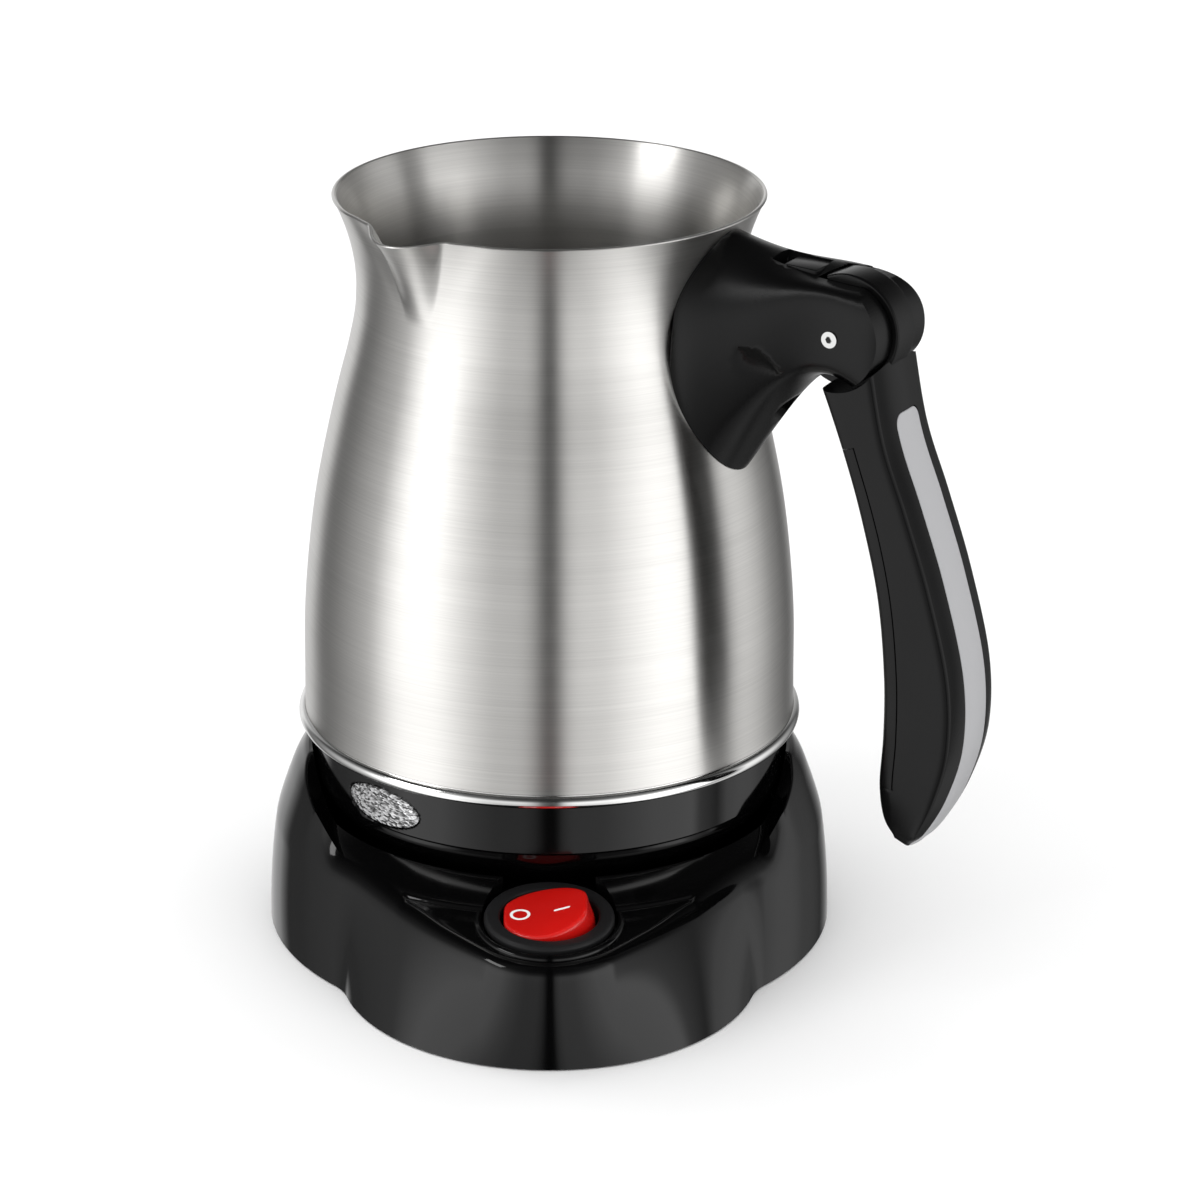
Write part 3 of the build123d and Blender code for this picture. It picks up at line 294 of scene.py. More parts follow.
def bend(start, corner, end, t):
    """Parabola whose two ends point at the corner: (1 - t)^2 start + 2 t (1 - t) corner + t^2 end."""
    return (1 - t) ** 2 * start + 2 * t * (1 - t) * corner + t ** 2 * end


def rounded(corners, radius, count=5):
    """Open outline whose inner corners become bends that leave each side at a radius from the corner."""
    corners = np.asarray(corners, float)
    parts = [corners[:1]]
    t = np.linspace(0, 1, count)[:, None]
    for before, corner, after in zip(corners[:-2], corners[1:-1], corners[2:]):
        back, on = before - corner, after - corner
        reach = min(radius, 0.45 * np.linalg.norm(back), 0.45 * np.linalg.norm(on))
        first = corner + back / np.linalg.norm(back) * reach
        last = corner + on / np.linalg.norm(on) * reach
        parts.append(bend(first, corner, last, t))
    parts.append(corners[-1:])
    return np.vstack(parts)


def divided(outline, step):
    """The outline with points added so that none of its runs is much longer than a step."""
    parts = []
    for start, end in zip(outline[:-1], outline[1:]):
        count = max(1, int(math.ceil(np.linalg.norm(end - start) / step)))
        t = np.linspace(0, 1, count, endpoint=False)[:, None]
        parts.append(start + (end - start) * t)
    parts.append(outline[-1:])
    return np.vstack(parts)


def xyz(x, y, z):
    """Points from three coordinates that are spread over each other."""
    return np.stack(np.broadcast_arrays(x, y, z), -1)


def polar(radius, angle, z):
    """Points at a radius and an angle round the Z axis."""
    return xyz(radius * np.cos(angle), radius * np.sin(angle), z)


def spun(profile, angles):
    """Surface of revolution about Z: every profile point (r, z) goes round all angles."""
    r, z = np.transpose(profile)[..., None]
    return polar(r, angles, z)


def swung(a, b, angle):
    """Two coordinates after a turn in their plane."""
    c, s = math.cos(angle), math.sin(angle)
    return a * c - b * s, a * s + b * c


def turned(points, angle):
    """Points turned about Z."""
    x, y, z = np.moveaxis(points, -1, 0)
    return xyz(*swung(x, y, angle), z)


def smooth_max(a, b, blend):
    """The greater of two fields, with a round hollow of about the blend's size where they meet."""
    gap = np.clip(0.5 + 0.5 * (a - b) / blend, 0, 1)
    return b + (a - b) * gap + blend * gap * (1 - gap)


def smooth_min(a, b, blend):
    """The lesser of two fields, with a round ridge where they meet."""
    return -smooth_max(-a, -b, blend)


def steps_round(count):
    """Angles at even steps all the way round."""
    return np.arange(count) * TAU / count


def crowded_round(count, even, cubed):
    """Angles all the way round that stand closest about zero: pi (even s + cubed s^3) for s from -1 to 1."""
    s = np.linspace(-1, 1, count, endpoint=False)
    return math.pi * (even * s + cubed * s ** 3)


# ------------------------------------------------------------------ materials
def add_node(tree, kind, *inputs, **settings):
    """New node in a tree; each input is a socket with a value or with the output that feeds it."""
    made = tree.nodes.new(kind)
    for name, value in settings.items():
        setattr(made, name, value)
    for socket, value in inputs:
        if isinstance(value, bpy.types.NodeSocket):
            tree.links.new(value, made.inputs[socket])
        else:
            made.inputs[socket].default_value = value
    return made


class Finish:
    """A node material that is built up step by step round one Principled shader."""

    def __init__(self, name, colour, roughness, metallic=0.0, **sockets):
        self.material = bpy.data.materials.new(name)
        self.material.use_nodes = True
        self.tree = self.material.node_tree
        self.shader = self.tree.nodes["Principled BSDF"]
        values = {"Base_Color": (*colour, 1), "Roughness": roughness, "Metallic": metallic, **sockets}
        for socket, value in values.items():
            self.shader.inputs[socket.replace("_", " ")].default_value = value
        self.place = self.node("ShaderNodeTexCoord").outputs["Object"]
        self.bumps = None

    def node(self, kind, **inputs):
        """New node; an underscore in the name of an input stands for a space."""
        return add_node(self.tree, kind, *((name.replace("_", " "), value) for name, value in inputs.items()))

    def feed(self, output, socket):
        """An output takes over a socket of the shader."""
        self.tree.links.new(output, self.shader.inputs[socket])

    def noise(self, scale, stretch=(1, 1, 1), detail=2.0, rough=0.5):
        """Noise in object space, drawn out along the axes with a small stretch value."""
        mapped = self.node("ShaderNodeMapping", Vector=self.place, Scale=stretch).outputs[0]
        return self.node("ShaderNodeTexNoise", Vector=mapped, Scale=scale, Detail=detail,
                         Roughness=rough).outputs[0]

    def ranged(self, value, low, high):
        """The middle of a noise, from 0.3 to 0.7, spread between two values."""
        return self.node("ShaderNodeMapRange", Value=value, From_Min=0.3, From_Max=0.7,
                         To_Min=low, To_Max=high).outputs[0]

    def rough(self, value, low, high):
        """Roughness between two values."""
        self.feed(self.ranged(value, low, high), "Roughness")

    def tint(self, value, dark, light):
        """Base colour between two colours."""
        ends = (6, (*dark, 1)), (7, (*light, 1))
        mix = add_node(self.tree, "ShaderNodeMix", (0, self.ranged(value, 0, 1)), *ends, data_type="RGBA")
        self.feed(mix.outputs[2], "Base Color")

    def bump(self, value, distance, strength=1.0):
        """Height in metres from a value, added to the bumps before it."""
        made = self.node("ShaderNodeBump", Height=value, Distance=distance, Strength=strength)
        if self.bumps:
            self.tree.links.new(self.bumps, made.inputs["Normal"])
        self.bumps = made.outputs[0]
        self.feed(self.bumps, "Normal")


def brushed_steel(colours):
    """Steel brushed round the pot: fine level lines and drawn-out streaks; its gloss spreads up and down."""
    steel = Finish("brushed_steel_round", colours.steel, 0.3, 1.0, Anisotropic=0.9, Anisotropic_Rotation=0.25)
    round_axis = add_node(steel.tree, "ShaderNodeTangent", direction_type="RADIAL", axis="Z")
    steel.feed(round_axis.outputs[0], "Tangent")
    fine = steel.noise(1.0, (16, 16, 3600), 3.0, 0.65)
    broad = steel.noise(1.0, (9, 9, 420), 2.0)
    steel.rough(broad, 0.29, 0.31)
    bright = tuple(min(1.0, value * 1.06) for value in colours.steel)
    dull = tuple(value * 0.94 for value in colours.steel)
    steel.tint(fine, dull, bright)
    steel.bump(fine, 0.000006, 0.3)
    return steel.material


def polished_steel(name, value=0.86):
    """Bright steel with faint wiping marks."""
    bright = Finish(name, (value, value, value * 0.99), 0.09, 1.0)
    bright.rough(bright.noise(260.0), 0.06, 0.14)
    bright.bump(bright.noise(900.0), 0.000004, 0.3)
    return bright.material


def gloss_plastic(name, colour, roughness=0.08):
    """Moulded gloss plastic: a slightly uneven skin with faint handling haze."""
    gloss = Finish(name, colour, roughness, 0.0, IOR=1.42)
    gloss.rough(gloss.noise(55.0, detail=3.0), roughness * 0.8, roughness * 1.5)
    gloss.bump(gloss.noise(40.0), 0.00004, 0.12)
    gloss.bump(gloss.noise(2600.0), 0.0000015, 0.2)
    return gloss.material


def satin_plastic(name, colour, roughness=0.34, grain=3200.0, depth=0.00001):
    """Satin moulded plastic: fine even grain under a soft sheen."""
    satin = Finish(name, colour, roughness, 0.0, IOR=1.38, Specular_IOR_Level=0.28)
    satin.rough(satin.noise(70.0, detail=3.0), roughness * 0.88, roughness * 1.15)
    satin.bump(satin.noise(grain), depth, 0.35)
    return satin.material


def rubber(name, colour):
    """Matt rubber with a dusty bloom."""
    matt = Finish(name, colour, 0.75, 0.0, Specular_IOR_Level=0.3)
    bloom = matt.noise(140.0, detail=4.0)
    matt.tint(bloom, colour, tuple(min(1.0, value * 1.6 + 0.01) for value in colour))
    matt.bump(matt.noise(2200.0), 0.00002, 0.4)
    return matt.material


def plain_metal(name, colour, roughness, scale=600.0):
    """Turned or plated metal: small mottled variation of gloss."""
    metal = Finish(name, colour, roughness, 1.0)
    metal.rough(metal.noise(scale, detail=3.0), roughness * 0.7, roughness * 1.4)
    metal.bump(metal.noise(scale * 3), 0.00001, 0.25)
    return metal.material


def prismatic_window():
    """Clear moulded window with small pyramids behind a silvered back; the pyramids' shade and glints are
    painted as dark and light cells.
    """
    window = Finish("prismatic_window", (0.62, 0.62, 0.63), 0.16, 0.55, Coat_Weight=0.6, Coat_Roughness=0.05)
    leant = window.node("ShaderNodeMapping", Vector=window.place, Rotation=(0.0, 0.7, 0.0),
                        Scale=(0.6, 1.0, 1.5)).outputs[0]
    cells = window.node("ShaderNodeTexVoronoi", Vector=leant, Scale=2300.0)
    # Painted shade and glints: each cell's colour, near black to pale silver, stands in for how a small
    # pyramid's facet catches the light.
    window.tint(cells.outputs["Color"], (0.04, 0.04, 0.04), (0.75, 0.75, 0.76))
    window.bump(cells.outputs["Distance"], 0.0003, 0.8)
    return window.material


def lamp_glass():
    """Small glass capsule with a warm tint."""
    glass = Finish("lamp_glass_capsule", (0.9, 0.45, 0.2), 0.08, 0.0, Transmission_Weight=0.7)
    glass.bump(glass.noise(500.0), 0.00001, 0.2)
    return glass.material


def rocker_plastic(colours):
    """Translucent red moulding with a gloss skin."""
    red = Finish("rocker_red_moulding", colours.red, 0.2, 0.0, Coat_Weight=0.25, Coat_Roughness=0.12,
                 Subsurface_Weight=0.12, Subsurface_Scale=0.002)
    red.shader.inputs["Subsurface Radius"].default_value = (1.0, 0.15, 0.1)
    dark = tuple(value * 0.86 for value in colours.red)
    red.tint(red.noise(90.0), dark, colours.red)
    red.rough(red.noise(130.0, detail=3.0), 0.17, 0.27)
    red.bump(red.noise(2400.0), 0.000004, 0.3)
    return red.material


# ------------------------------------------------------------------ the pot
# How far the trim ring's lower edge and the skirt's top lie below the foot of the steel.
BEAD_DROP = 0.7


def belly_radius(sizes, z):
    """Outside radius of the pot at a height.

    A smooth curve goes through foot, belly, waist and shoulder up to the neck; from there the flare grows
    with the square of the height.
    """
    neck, flare = sizes.neck_height, sizes.rim_radius - sizes.neck_radius
    heights = [sizes.foot_height, 51, 63, 75, 87, 99, 109, 117, 124, neck]
    radii = [sizes.foot_radius, 47.13, 46.9, 45.93, 44.33, 41.91, 39.52, 37.41, 36.1, sizes.neck_radius]
    belly = through(heights, radii, np.minimum(z, neck))
    share = np.clip((z - neck) / (sizes.rim_height - neck), 0, 1)
    return np.where(z < neck, belly, sizes.neck_radius + flare * share ** 2)


def spout_push(sizes, z, away):
    """Outward push of the spout, and how much of it dips the lip.

    The push is a rounded ridge, widest at the rim and gone at the neck, with a faint hollow each side.
    Across, it is (1 - u^2)^1.5, u being the angle over the half angle at that height.
    """
    share = np.clip((z - sizes.neck_height + 0.5) / (sizes.rim_height - sizes.neck_height + 0.5), 0, 1)
    half = sizes.spout_half * (0.35 + 0.65 * share)
    ridge = np.clip(1 - (away / half) ** 2, 0, 1) ** 1.5
    hollow = np.exp(-((np.abs(away) - 1.45 * half) / (0.4 * half)) ** 2)
    return sizes.spout_reach * share ** 1.2 * ridge - 0.35 * share ** 1.5 * hollow, ridge * share ** 3


def pot_surface(sizes):
    """Outside, rolled rim and inside of the pot as one profile carried round, pushed out along the spout."""
    wall, foot, rim = sizes.wall, sizes.foot_height, sizes.rim_height
    under = foot + sizes.floor_up
    heights = np.concatenate([np.linspace(foot + 0.15, 118, 60), np.linspace(119, rim - 0.3, 44)])
    outside = np.stack([belly_radius(sizes, heights), heights], -1)
    inner_heights = heights[::-1][:-4]
    inside = np.stack([belly_radius(sizes, inner_heights) - wall, inner_heights], -1)
    rim_r = float(belly_radius(sizes, np.array([rim]))[0])
    lip = arc((rim_r - wall / 2, rim - wall / 2), wall / 2 + 0.02, 0, 180, 7)
    floor_r = sizes.foot_radius - wall
    below = [(0.5, under), (floor_r - 0.05, under), (floor_r - 0.05, foot), (floor_r + wall, foot),
             (floor_r + wall, foot + 0.15)]
    above = [inside[-1], (floor_r, under + wall + 0.5), (floor_r - 1.2, under + wall), (0.5, under + wall)]
    below, above = divided(rounded(below, 0.25, 4), 6.0), divided(rounded(above, 1.5), 6.0)
    profile = np.vstack([below[:-1], outside, lip, inside, above[1:]])
    away = crowded_round(384, 0.42, 0.58)
    push, dip = spout_push(sizes, profile[:, 1:], away)
    return spun(profile, SPOUT_ANGLE + away) + polar(push, SPOUT_ANGLE + away, -1.1 * dip)


def bead_surface(sizes):
    """Trim ring: a half-round section with a thin seat above it, carried round the foot."""
    foot, seat, nose_radius = sizes.foot_height, sizes.foot_radius + 0.03, 1.2
    low = foot - BEAD_DROP
    nose = arc((sizes.bead_radius - nose_radius, low + 1.25), nose_radius, -85, 90, 22)
    rest = [(seat + 0.02, low + 2.6), (seat, foot), (45.6, foot), (45.6, low), (47.0, low)]
    return spun(np.vstack([nose, rest]), steps_round(288))


def skirt_surface(sizes):
    """Black skirt: a closed section carried round, pressed in by a pocket where the oval window sits.

    The pocket's depth follows a steep step of the oval's own distance, (x/a)^2 + (z/b)^2.
    """
    out, wall, top, pocket = sizes.skirt_radius, 2.0, sizes.foot_height - BEAD_DROP, 1.2
    side = [(out - 0.03, z) for z in np.linspace(top - 0.4, 31.6, 34)]
    turns = [(out - 0.6, 31.0), (out - 0.9, 29.4), (out - 2.2, 27.2), (out - 4.6, 25.0), (37.6, 22.4)]
    knee = through([0, 1, 2, 3, 4], turns, np.linspace(0, 4, 18))
    outer = np.vstack([[(out - 0.3, top)], side, knee, [(19.1, 22.4)]])
    inner = [(19.1, 24.4), (36.0, 24.4), (out - 3.4, 29.0), (out - wall, 31.5), (out - wall, top)]
    profile = np.vstack([outer, inner])
    away = crowded_round(420, 0.3, 0.7)
    up = profile[:, 1:] - sizes.lens_level
    oval = (away * out / (sizes.lens_width / 2 + 0.15)) ** 2 + (up / (sizes.lens_height / 2 + 0.15)) ** 2
    sunk = np.clip((1.06 - oval) / 0.12, 0, 1)
    sunk[len(outer):] = 0
    points = spun(profile, LENS_ANGLE + away)
    radius = np.hypot(points[..., 0], points[..., 1])
    points[..., :2] *= ((radius - pocket * sunk) / radius)[..., None]
    return points


def lens_surface(sizes):
    """Oval window: rings of an ellipse laid on the skirt's cylinder, domed a little, its rim going in."""
    out = sizes.skirt_radius
    share = np.array([0.02, 0.15, 0.3, 0.45, 0.6, 0.75, 0.88, 0.96, 1.0, 1.0, 0.5])[:, None]
    stand = np.array([0.17, 0.17, 0.165, 0.16, 0.15, 0.13, 0.1, 0.04, -0.12, -1.0, -1.0])[:, None]
    angle = steps_round(96)
    across = share * sizes.lens_width / 2 * np.cos(angle)
    up = sizes.lens_level + share * sizes.lens_height / 2 * np.sin(angle)
    lean = np.clip((33.0 - up) / 9.0, 0, 1) * 0.2
    return polar(out + stand - lean, LENS_ANGLE + across / out, up)


# ------------------------------------------------------------------ the base
# Height of the moulding's lower edge, and of the cord's middle, over the floor.
FOOT_EDGE = 0.3
CORD_LEVEL = 9.0

# Size of the rounding where the shoulder meets the cut for the front panel.
TOP_BLEND = 0.9


def polar_of_circle(theta, centre, radius, near=False):
    """Distance from the axis to a circle seen at an angle: c.e +- sqrt(R^2 - |c|^2 + (c.e)^2)."""
    along = centre[0] * np.cos(theta) + centre[1] * np.sin(theta)
    root = np.sqrt(np.maximum(radius ** 2 - centre[0] ** 2 - centre[1] ** 2 + along ** 2, 0))
    return along - root if near else along + root


def one_side(theta):
    """Each angle's image on the +X side: the outlines are the same on both sides."""
    return np.arctan2(np.sin(theta), np.abs(np.cos(theta)))


def foot_radius_at(sizes, theta, inset):
    """Floor outline: round back, front lobe, and a hollow arc that touches both on each side."""
    back, lobe, lobe_out, blend = sizes.foot_radius, sizes.lobe_radius, sizes.lobe_out, sizes.blend
    far, near = back + blend, lobe + blend
    y = (near ** 2 - far ** 2 - lobe_out ** 2) / (2 * lobe_out)
    x = math.sqrt(far ** 2 - y ** 2)
    touch_back = math.atan2(y, x)
    front = np.array([x, y + lobe_out]) * lobe / near - np.array([0, lobe_out])
    touch_front = math.atan2(front[1], front[0])
    folded = one_side(theta)
    rounds = np.full_like(theta, back - inset)
    lobes = polar_of_circle(folded, (0, -lobe_out), lobe - inset)
    hollows = polar_of_circle(folded, (x, y), blend + inset, near=True)
    return np.where(folded > touch_back, rounds, np.where(folded < touch_front, lobes, hollows))


def crest_radius_at(sizes, theta, inset):
    """Top outline: shoulder circle and round nose, joined by the two straight lines that touch both."""
    big, small, out = sizes.crest_radius, sizes.nose_radius, sizes.switch_out
    lean = math.acos((big - small) / out)
    normal = (math.sin(lean), -math.cos(lean))
    touch_back = math.atan2(normal[1], normal[0])
    front = (small * normal[0], small * normal[1] - out)
    touch_front = math.atan2(front[1], front[0])
    folded = one_side(theta)
    line = (big - inset) / np.maximum(np.cos(folded) * normal[0] + np.sin(folded) * normal[1], 0.2)
    noses = polar_of_circle(folded, (0, -out), small - inset)
    return np.where(folded > touch_back, big - inset, np.where(folded < touch_front, noses, line))


def shoulder_height(sizes, radius, inset):
    """Height of the round shoulder over its distance from the axis."""
    crest, collar, low = sizes.crest_radius - inset, sizes.collar_height - inset, sizes.crest_height
    tall = collar - low
    radii = crest - np.array([6.2, 5.5, 4.6, 3.41, 1.82, 0.62, 0])
    heights = [collar, collar - 0.45, collar - 1.7, *(low + np.array([0.70, 0.39, 0.13, 0]) * tall)]
    return through(radii, heights, np.clip(radius, radii[0], radii[-1]))


def panel_height_at(sizes, x, y, inset):
    """Front panel: a plane through the switch that falls outwards, and a cone that rises to the well."""
    cone_slope = 0.57
    plane = sizes.panel_height - inset + (y + sizes.switch_out) * math.tan(sizes.panel_slope)
    cone = sizes.panel_edge - inset - cone_slope * (np.hypot(x, y) - sizes.well_radius)
    return smooth_max(plane, cone, 1.8)


def cut_down_height(sizes, x, y, inset):
    """The panel and, round it, two sides and a back that lean outwards; the three meet in round corners."""
    low, flank_lean, back_lean = sizes.crest_height, 0.89, 1.22
    side_gap, taper, taper_start, back_out = 7.9, 0.022, 22.0, 21.9
    side_in = sizes.well_radius - side_gap + inset - taper * np.clip(-y - taper_start, 0, None)
    flanks = low + (np.abs(x) - side_in) / flank_lean
    back = low + (y + back_out - inset) / back_lean
    return smooth_max(panel_height_at(sizes, x, y, inset), smooth_max(flanks, back, 8.0), 1.3)


def top_height(sizes, x, y, inset):
    """Height of the base's top: the shoulder, cut down to the front panel."""
    shoulder = shoulder_height(sizes, np.hypot(x, y), inset)
    return smooth_min(shoulder, cut_down_height(sizes, x, y, inset), TOP_BLEND)


def wall_line(sizes, theta, inset):
    """Wall at every angle, as a function of height: straight from foot to crest with a slight swell."""
    low, crest, swell = FOOT_EDGE, sizes.crest_height, 0.45
    foot, top = foot_radius_at(sizes, theta, inset), crest_radius_at(sizes, theta, inset)

    def at(z):
        share = (z - low) / (crest - low)
        return foot + (top - foot) * share + swell * np.clip(share * (1 - share) * 4, 0, 1)
    return at


def wall_top(sizes, theta, inset):
    """Where wall and top meet at each angle, found by a few rounds of substitution up the wall."""
    wall = wall_line(sizes, theta, inset)
    crest = sizes.crest_height
    z = np.full_like(theta, crest)
    for _ in range(30):
        radius = wall(z)
        height = cut_down_height(sizes, radius * np.cos(theta), radius * np.sin(theta), inset)
        z = 0.5 * z + 0.5 * smooth_min(np.full_like(z, crest), height, TOP_BLEND)
    return wall, wall(z), z


def housing_side(sizes, theta, inset, soft):
    """One side of the moulding at every angle, as rows of r and rows of z.

    The rows go over the well's floor and wall, the top, the edge and the outer wall. Soft is 1 for the
    outside and 0 for the inside, which has no ring on its floor and sharper edges.
    """
    well, well_floor = sizes.well_radius + inset, sizes.well_floor - inset
    wall, edge_r, edge_z = wall_top(sizes, theta, inset)
    rows_r, rows_z = [], []

    def add(r, z):
        rows_r.append(np.broadcast_to(r, theta.shape).astype(float))
        rows_z.append(np.broadcast_to(z, theta.shape).astype(float))

    lip = top_height(sizes, well * np.cos(theta), well * np.sin(theta), inset)
    ring, ring_in, ring_out, foot_gap, lip_gap = 1.5 * soft, 20.2, 21.7, 0.6, 0.55 * soft
    for r, up in ((0.5, 0), (10, 0), (ring_in - 0.05, 0), (ring_in, 0.05), (ring_in, ring), (ring_out, ring),
                  (ring_out, 0.05), (ring_out + 0.05, 0), (38, 0)):
        add(r, well_floor + up)
    for share in (0, 0.5, 0.8):
        add(well - 1 + share, well_floor + 0.5 * share ** 2)
    for share in np.linspace(0.02, 1, 10):
        add(well, well_floor + foot_gap + (lip - well_floor - foot_gap - lip_gap) * share)
    add(well + 0.12 * soft, lip - 0.2 * soft)
    rounding = sizes.crest_round * (0.4 + 0.6 * soft)
    reach = edge_r - rounding - well
    for share in np.concatenate([[0.06], np.linspace(0.1, 1, 48)]):
        r = well + reach * share
        add(r, top_height(sizes, r * np.cos(theta), r * np.sin(theta), inset))
    last_r, last_z = rows_r[-1], rows_z[-1]
    down_z = edge_z - rounding
    down_r = wall(down_z)
    for t in np.linspace(0.1, 1, 10):
        add(bend(last_r, edge_r, down_r, t), bend(last_z, edge_z, down_z, t))
    for share in np.linspace(0.06, 1, 20):
        z = down_z + (FOOT_EDGE - down_z) * share
        add(wall(z), z)
    return np.array(rows_r), np.array(rows_z)


def housing_surface(sizes):
    """Moulded base as a shell: outside from the well's floor to the foot, inside back to the middle."""
    theta = -math.pi / 2 + crowded_round(760, 0.74, 0.26)
    outside = housing_side(sizes, theta, 0.0, 1.0)
    inside = housing_side(sizes, theta, sizes.wall, 0.0)
    last = len(inside[0]) - 1
    keep = np.r_[0, 1, 2, 8, 9, 12, 21, 23:last + 1:5, last]
    radius, height = (np.vstack([out, back[keep][::-1]]) for out, back in zip(outside, inside))
    return polar(radius, theta, height)


def at_switch(sizes, points):
    """Points given at the switch's own place, moved onto the sloping panel of the turned base."""
    x, y, z = np.moveaxis(points, -1, 0)
    y, z = swung(y, z, sizes.panel_slope)
    return turned(xyz(x, y - sizes.switch_out, z + sizes.panel_height), BASE_TURN)


def disc_section(radius, low, high):
    """Section of a cylinder, from its hub out and back."""
    return np.array([(HUB, low), (radius, low), (radius, high), (HUB, high)])


def drum(radius, low, high, count=72):
    """Upright cylinder as a grid of four rings."""
    return spun(disc_section(radius, low, high), steps_round(count))


def boss_surface(sizes):
    """Rim round the switch: a low ring with a bright inner edge and a stepped outer side, carried round."""
    out = sizes.boss_radius
    section = [(out - 1.25, -2.6), (out - 1.25, 0.7), (out - 0.75, 0.95), (out - 0.1, 0.45), (out, -0.6),
               (out + 0.35, -0.95), (out + 0.5, -2.6)]
    return at_switch(sizes, spun(rounded(section, 0.3, 6), steps_round(200)))


def bezel_surface(sizes):
    """Switch bezel and body: a turned profile with fine rounded edges, open where the rocker swings."""
    out, body, opening = sizes.bezel_radius, 9.97, 9.1
    top, under, pit = 1.8, -11.0, -6.5
    edge = rounded([(body, under), (body, -0.02), (out, -0.02), (out, 1.15), (out - 0.45, top),
                    (opening + 0.25, top - 0.1), (opening, top - 0.5), (opening, pit), (HUB, pit)], 0.28, 5)
    return at_switch(sizes, spun(np.vstack([[(HUB, under)], edge]), steps_round(160)))


# Drop of the rocker's pivot under the panel, and the levels of the cap's lower end and of its top's tips.
PIVOT_DROP = 1.0
CAP_LOW, CAP_TOP = -4.0, 3.4


def rocker_top(sizes, x):
    """Height of the rocker's hollow top over its length."""
    return CAP_TOP - 1.2 * (1 - (x / sizes.rocker_radius) ** 2)


def leaned(sizes, points):
    """Points of the rocker leaned about its pivot to the off side."""
    x, y, z = np.moveaxis(points, -1, 0)
    x, z = swung(x, z + PIVOT_DROP, sizes.rocker_tilt)
    return at_switch(sizes, xyz(x, y, z - PIVOT_DROP))


def rocker_surface(sizes):
    """Rocker cap: rings from the middle out to the top's edge, over a round edge and down a barrel side.

    The side's plan is a circle of the cap's radius, drawn in along X by a larger circle about the pivot.
    """
    swing, flat, edging, fall = 9.0, 0.93, 0.07, 0.6
    angle = steps_round(128)
    c, s = np.cos(angle), np.sin(angle)

    def plan(z):
        """Distance of the side from the middle at a height."""
        reach = np.sqrt(np.maximum(swing ** 2 - (z + PIVOT_DROP) ** 2, 1.0))
        return smooth_min(np.full_like(angle, sizes.rocker_radius), reach / np.maximum(np.abs(c), 1e-3), 0.7)

    rows = []
    edge = plan(CAP_TOP)
    for share in (0.02, 0.2, 0.4, 0.55, 0.7, 0.8, 0.88, flat):
        x = edge * c * share
        rows.append(xyz(x, edge * s * share, rocker_top(sizes, x)))
    rim_z = rocker_top(sizes, edge * c * flat)
    for turn in np.radians([15, 35, 55, 75, 90]):
        out = edge * (flat + edging * math.sin(turn))
        rows.append(xyz(out * c, out * s, rim_z - fall * (1 - math.cos(turn))))
    for share in np.linspace(0.08, 1, 14):
        z = rim_z - fall + (CAP_LOW - (rim_z - fall)) * share
        out = edge + (plan(z) - edge) * min(1.0, share * 2.2)
        rows.append(xyz(out * c, out * s, z))
    rows.append(xyz(0.02 * c, 0.02 * s, CAP_LOW))
    return leaned(sizes, np.array(rows))


def ring_mark(sizes):
    """Printed ring: four circles make a thin closed band."""
    angle = steps_round(64)
    radii, lift = np.transpose([(1.32, 0), (1.86, 0), (1.86, -0.08), (1.32, -0.08)])[..., None]
    x = -4.75 + radii * np.cos(angle)
    return leaned(sizes, xyz(x, radii * np.sin(angle), rocker_top(sizes, x) + 0.03 + lift))


def bar_mark(sizes):
    """Printed bar: a slot outline in two heights along the rocker."""
    angle = steps_round(32)
    middle, straight, round_end = 3.0, 1.3, 0.25
    x = middle + np.where(np.cos(angle) > 0, straight, -straight) + round_end * np.cos(angle)
    rows = []
    for share, lift in ((0.02, 0.03), (0.5, 0.03), (1.0, 0.03), (1.0, -0.05), (0.02, -0.05)):
        drawn = middle + (x - middle) * share
        rows.append(xyz(drawn, round_end * np.sin(angle) * share, rocker_top(sizes, drawn) + lift))
    return leaned(sizes, np.array(rows))


# ------------------------------------------------------------------ the handle
# Inner edge (x, z) and outer edge (x, z) of the grip from its root to its tip.
GRIP_EDGES = np.array([
    (60.5, 122.5, 72.6, 127.6), (66.0, 109.3, 76.0, 112.2), (70.1, 97.3, 80.9, 99.6),
    (73.9, 82.5, 85.9, 86.0), (75.7, 68.0, 90.4, 69.5), (76.0, 56.5, 91.0, 56.0),
    (75.3, 46.3, 88.2, 45.0), (75.7, 39.6, 84.2, 37.0), (77.3, 35.4, 81.3, 33.8),
])

# How much narrower each half of the grip is at those places.
GRIP_NARROWING = np.array([0, 0, 0, 0, 0, 0, 0.6, 2.2, 4.0])

# Shares of the grip's length between which the inner cover lies.
COVER_FROM, COVER_TO = 0.125, 0.75

# Distances across of the columns on the back, closest together at the inlay's edge.
BACK_COLUMNS = np.array([0, 1.0, 1.7, 2.1, 2.4, 2.65, 2.9, 3.1, 3.3, 3.5, 3.65, 3.8, 3.92, 4.02, 4.1, 4.17,
                         4.24, 4.32, 4.42])

# Height of the inlay's upper end, and the radius of its corners.
INLAY_TOP, INLAY_CORNER = 116.0, 2.2

# Rows of the dome at the grip's tip, and how far it reaches.
DOME_ROWS, DOME_REACH = 8, 1.1

# Bore of the tongue, a hair wider than the bush in it.
BUSH_BORE = 2.63

# Length of the catch spring at rest, how much the slide takes up of it, and its distance from the tongue.
SPRING_LENGTH, SPRING_TRAVEL, SPRING_GAP = 7.0, 1.85, 2.4


def cross_spun(profile, x, z, count=120):
    """Surface of revolution about a line along Y: every profile point (r, y) goes round it."""
    ring = steps_round(count)
    r, y = np.transpose(profile)[..., None]
    return xyz(x + r * np.cos(ring), y, z + r * np.sin(ring))


def cross_drum(radius, x, z, near, far, count=96):
    """Cylinder along Y through a point of the handle's plane."""
    return cross_spun(disc_section(radius, near, far), x, z, count)


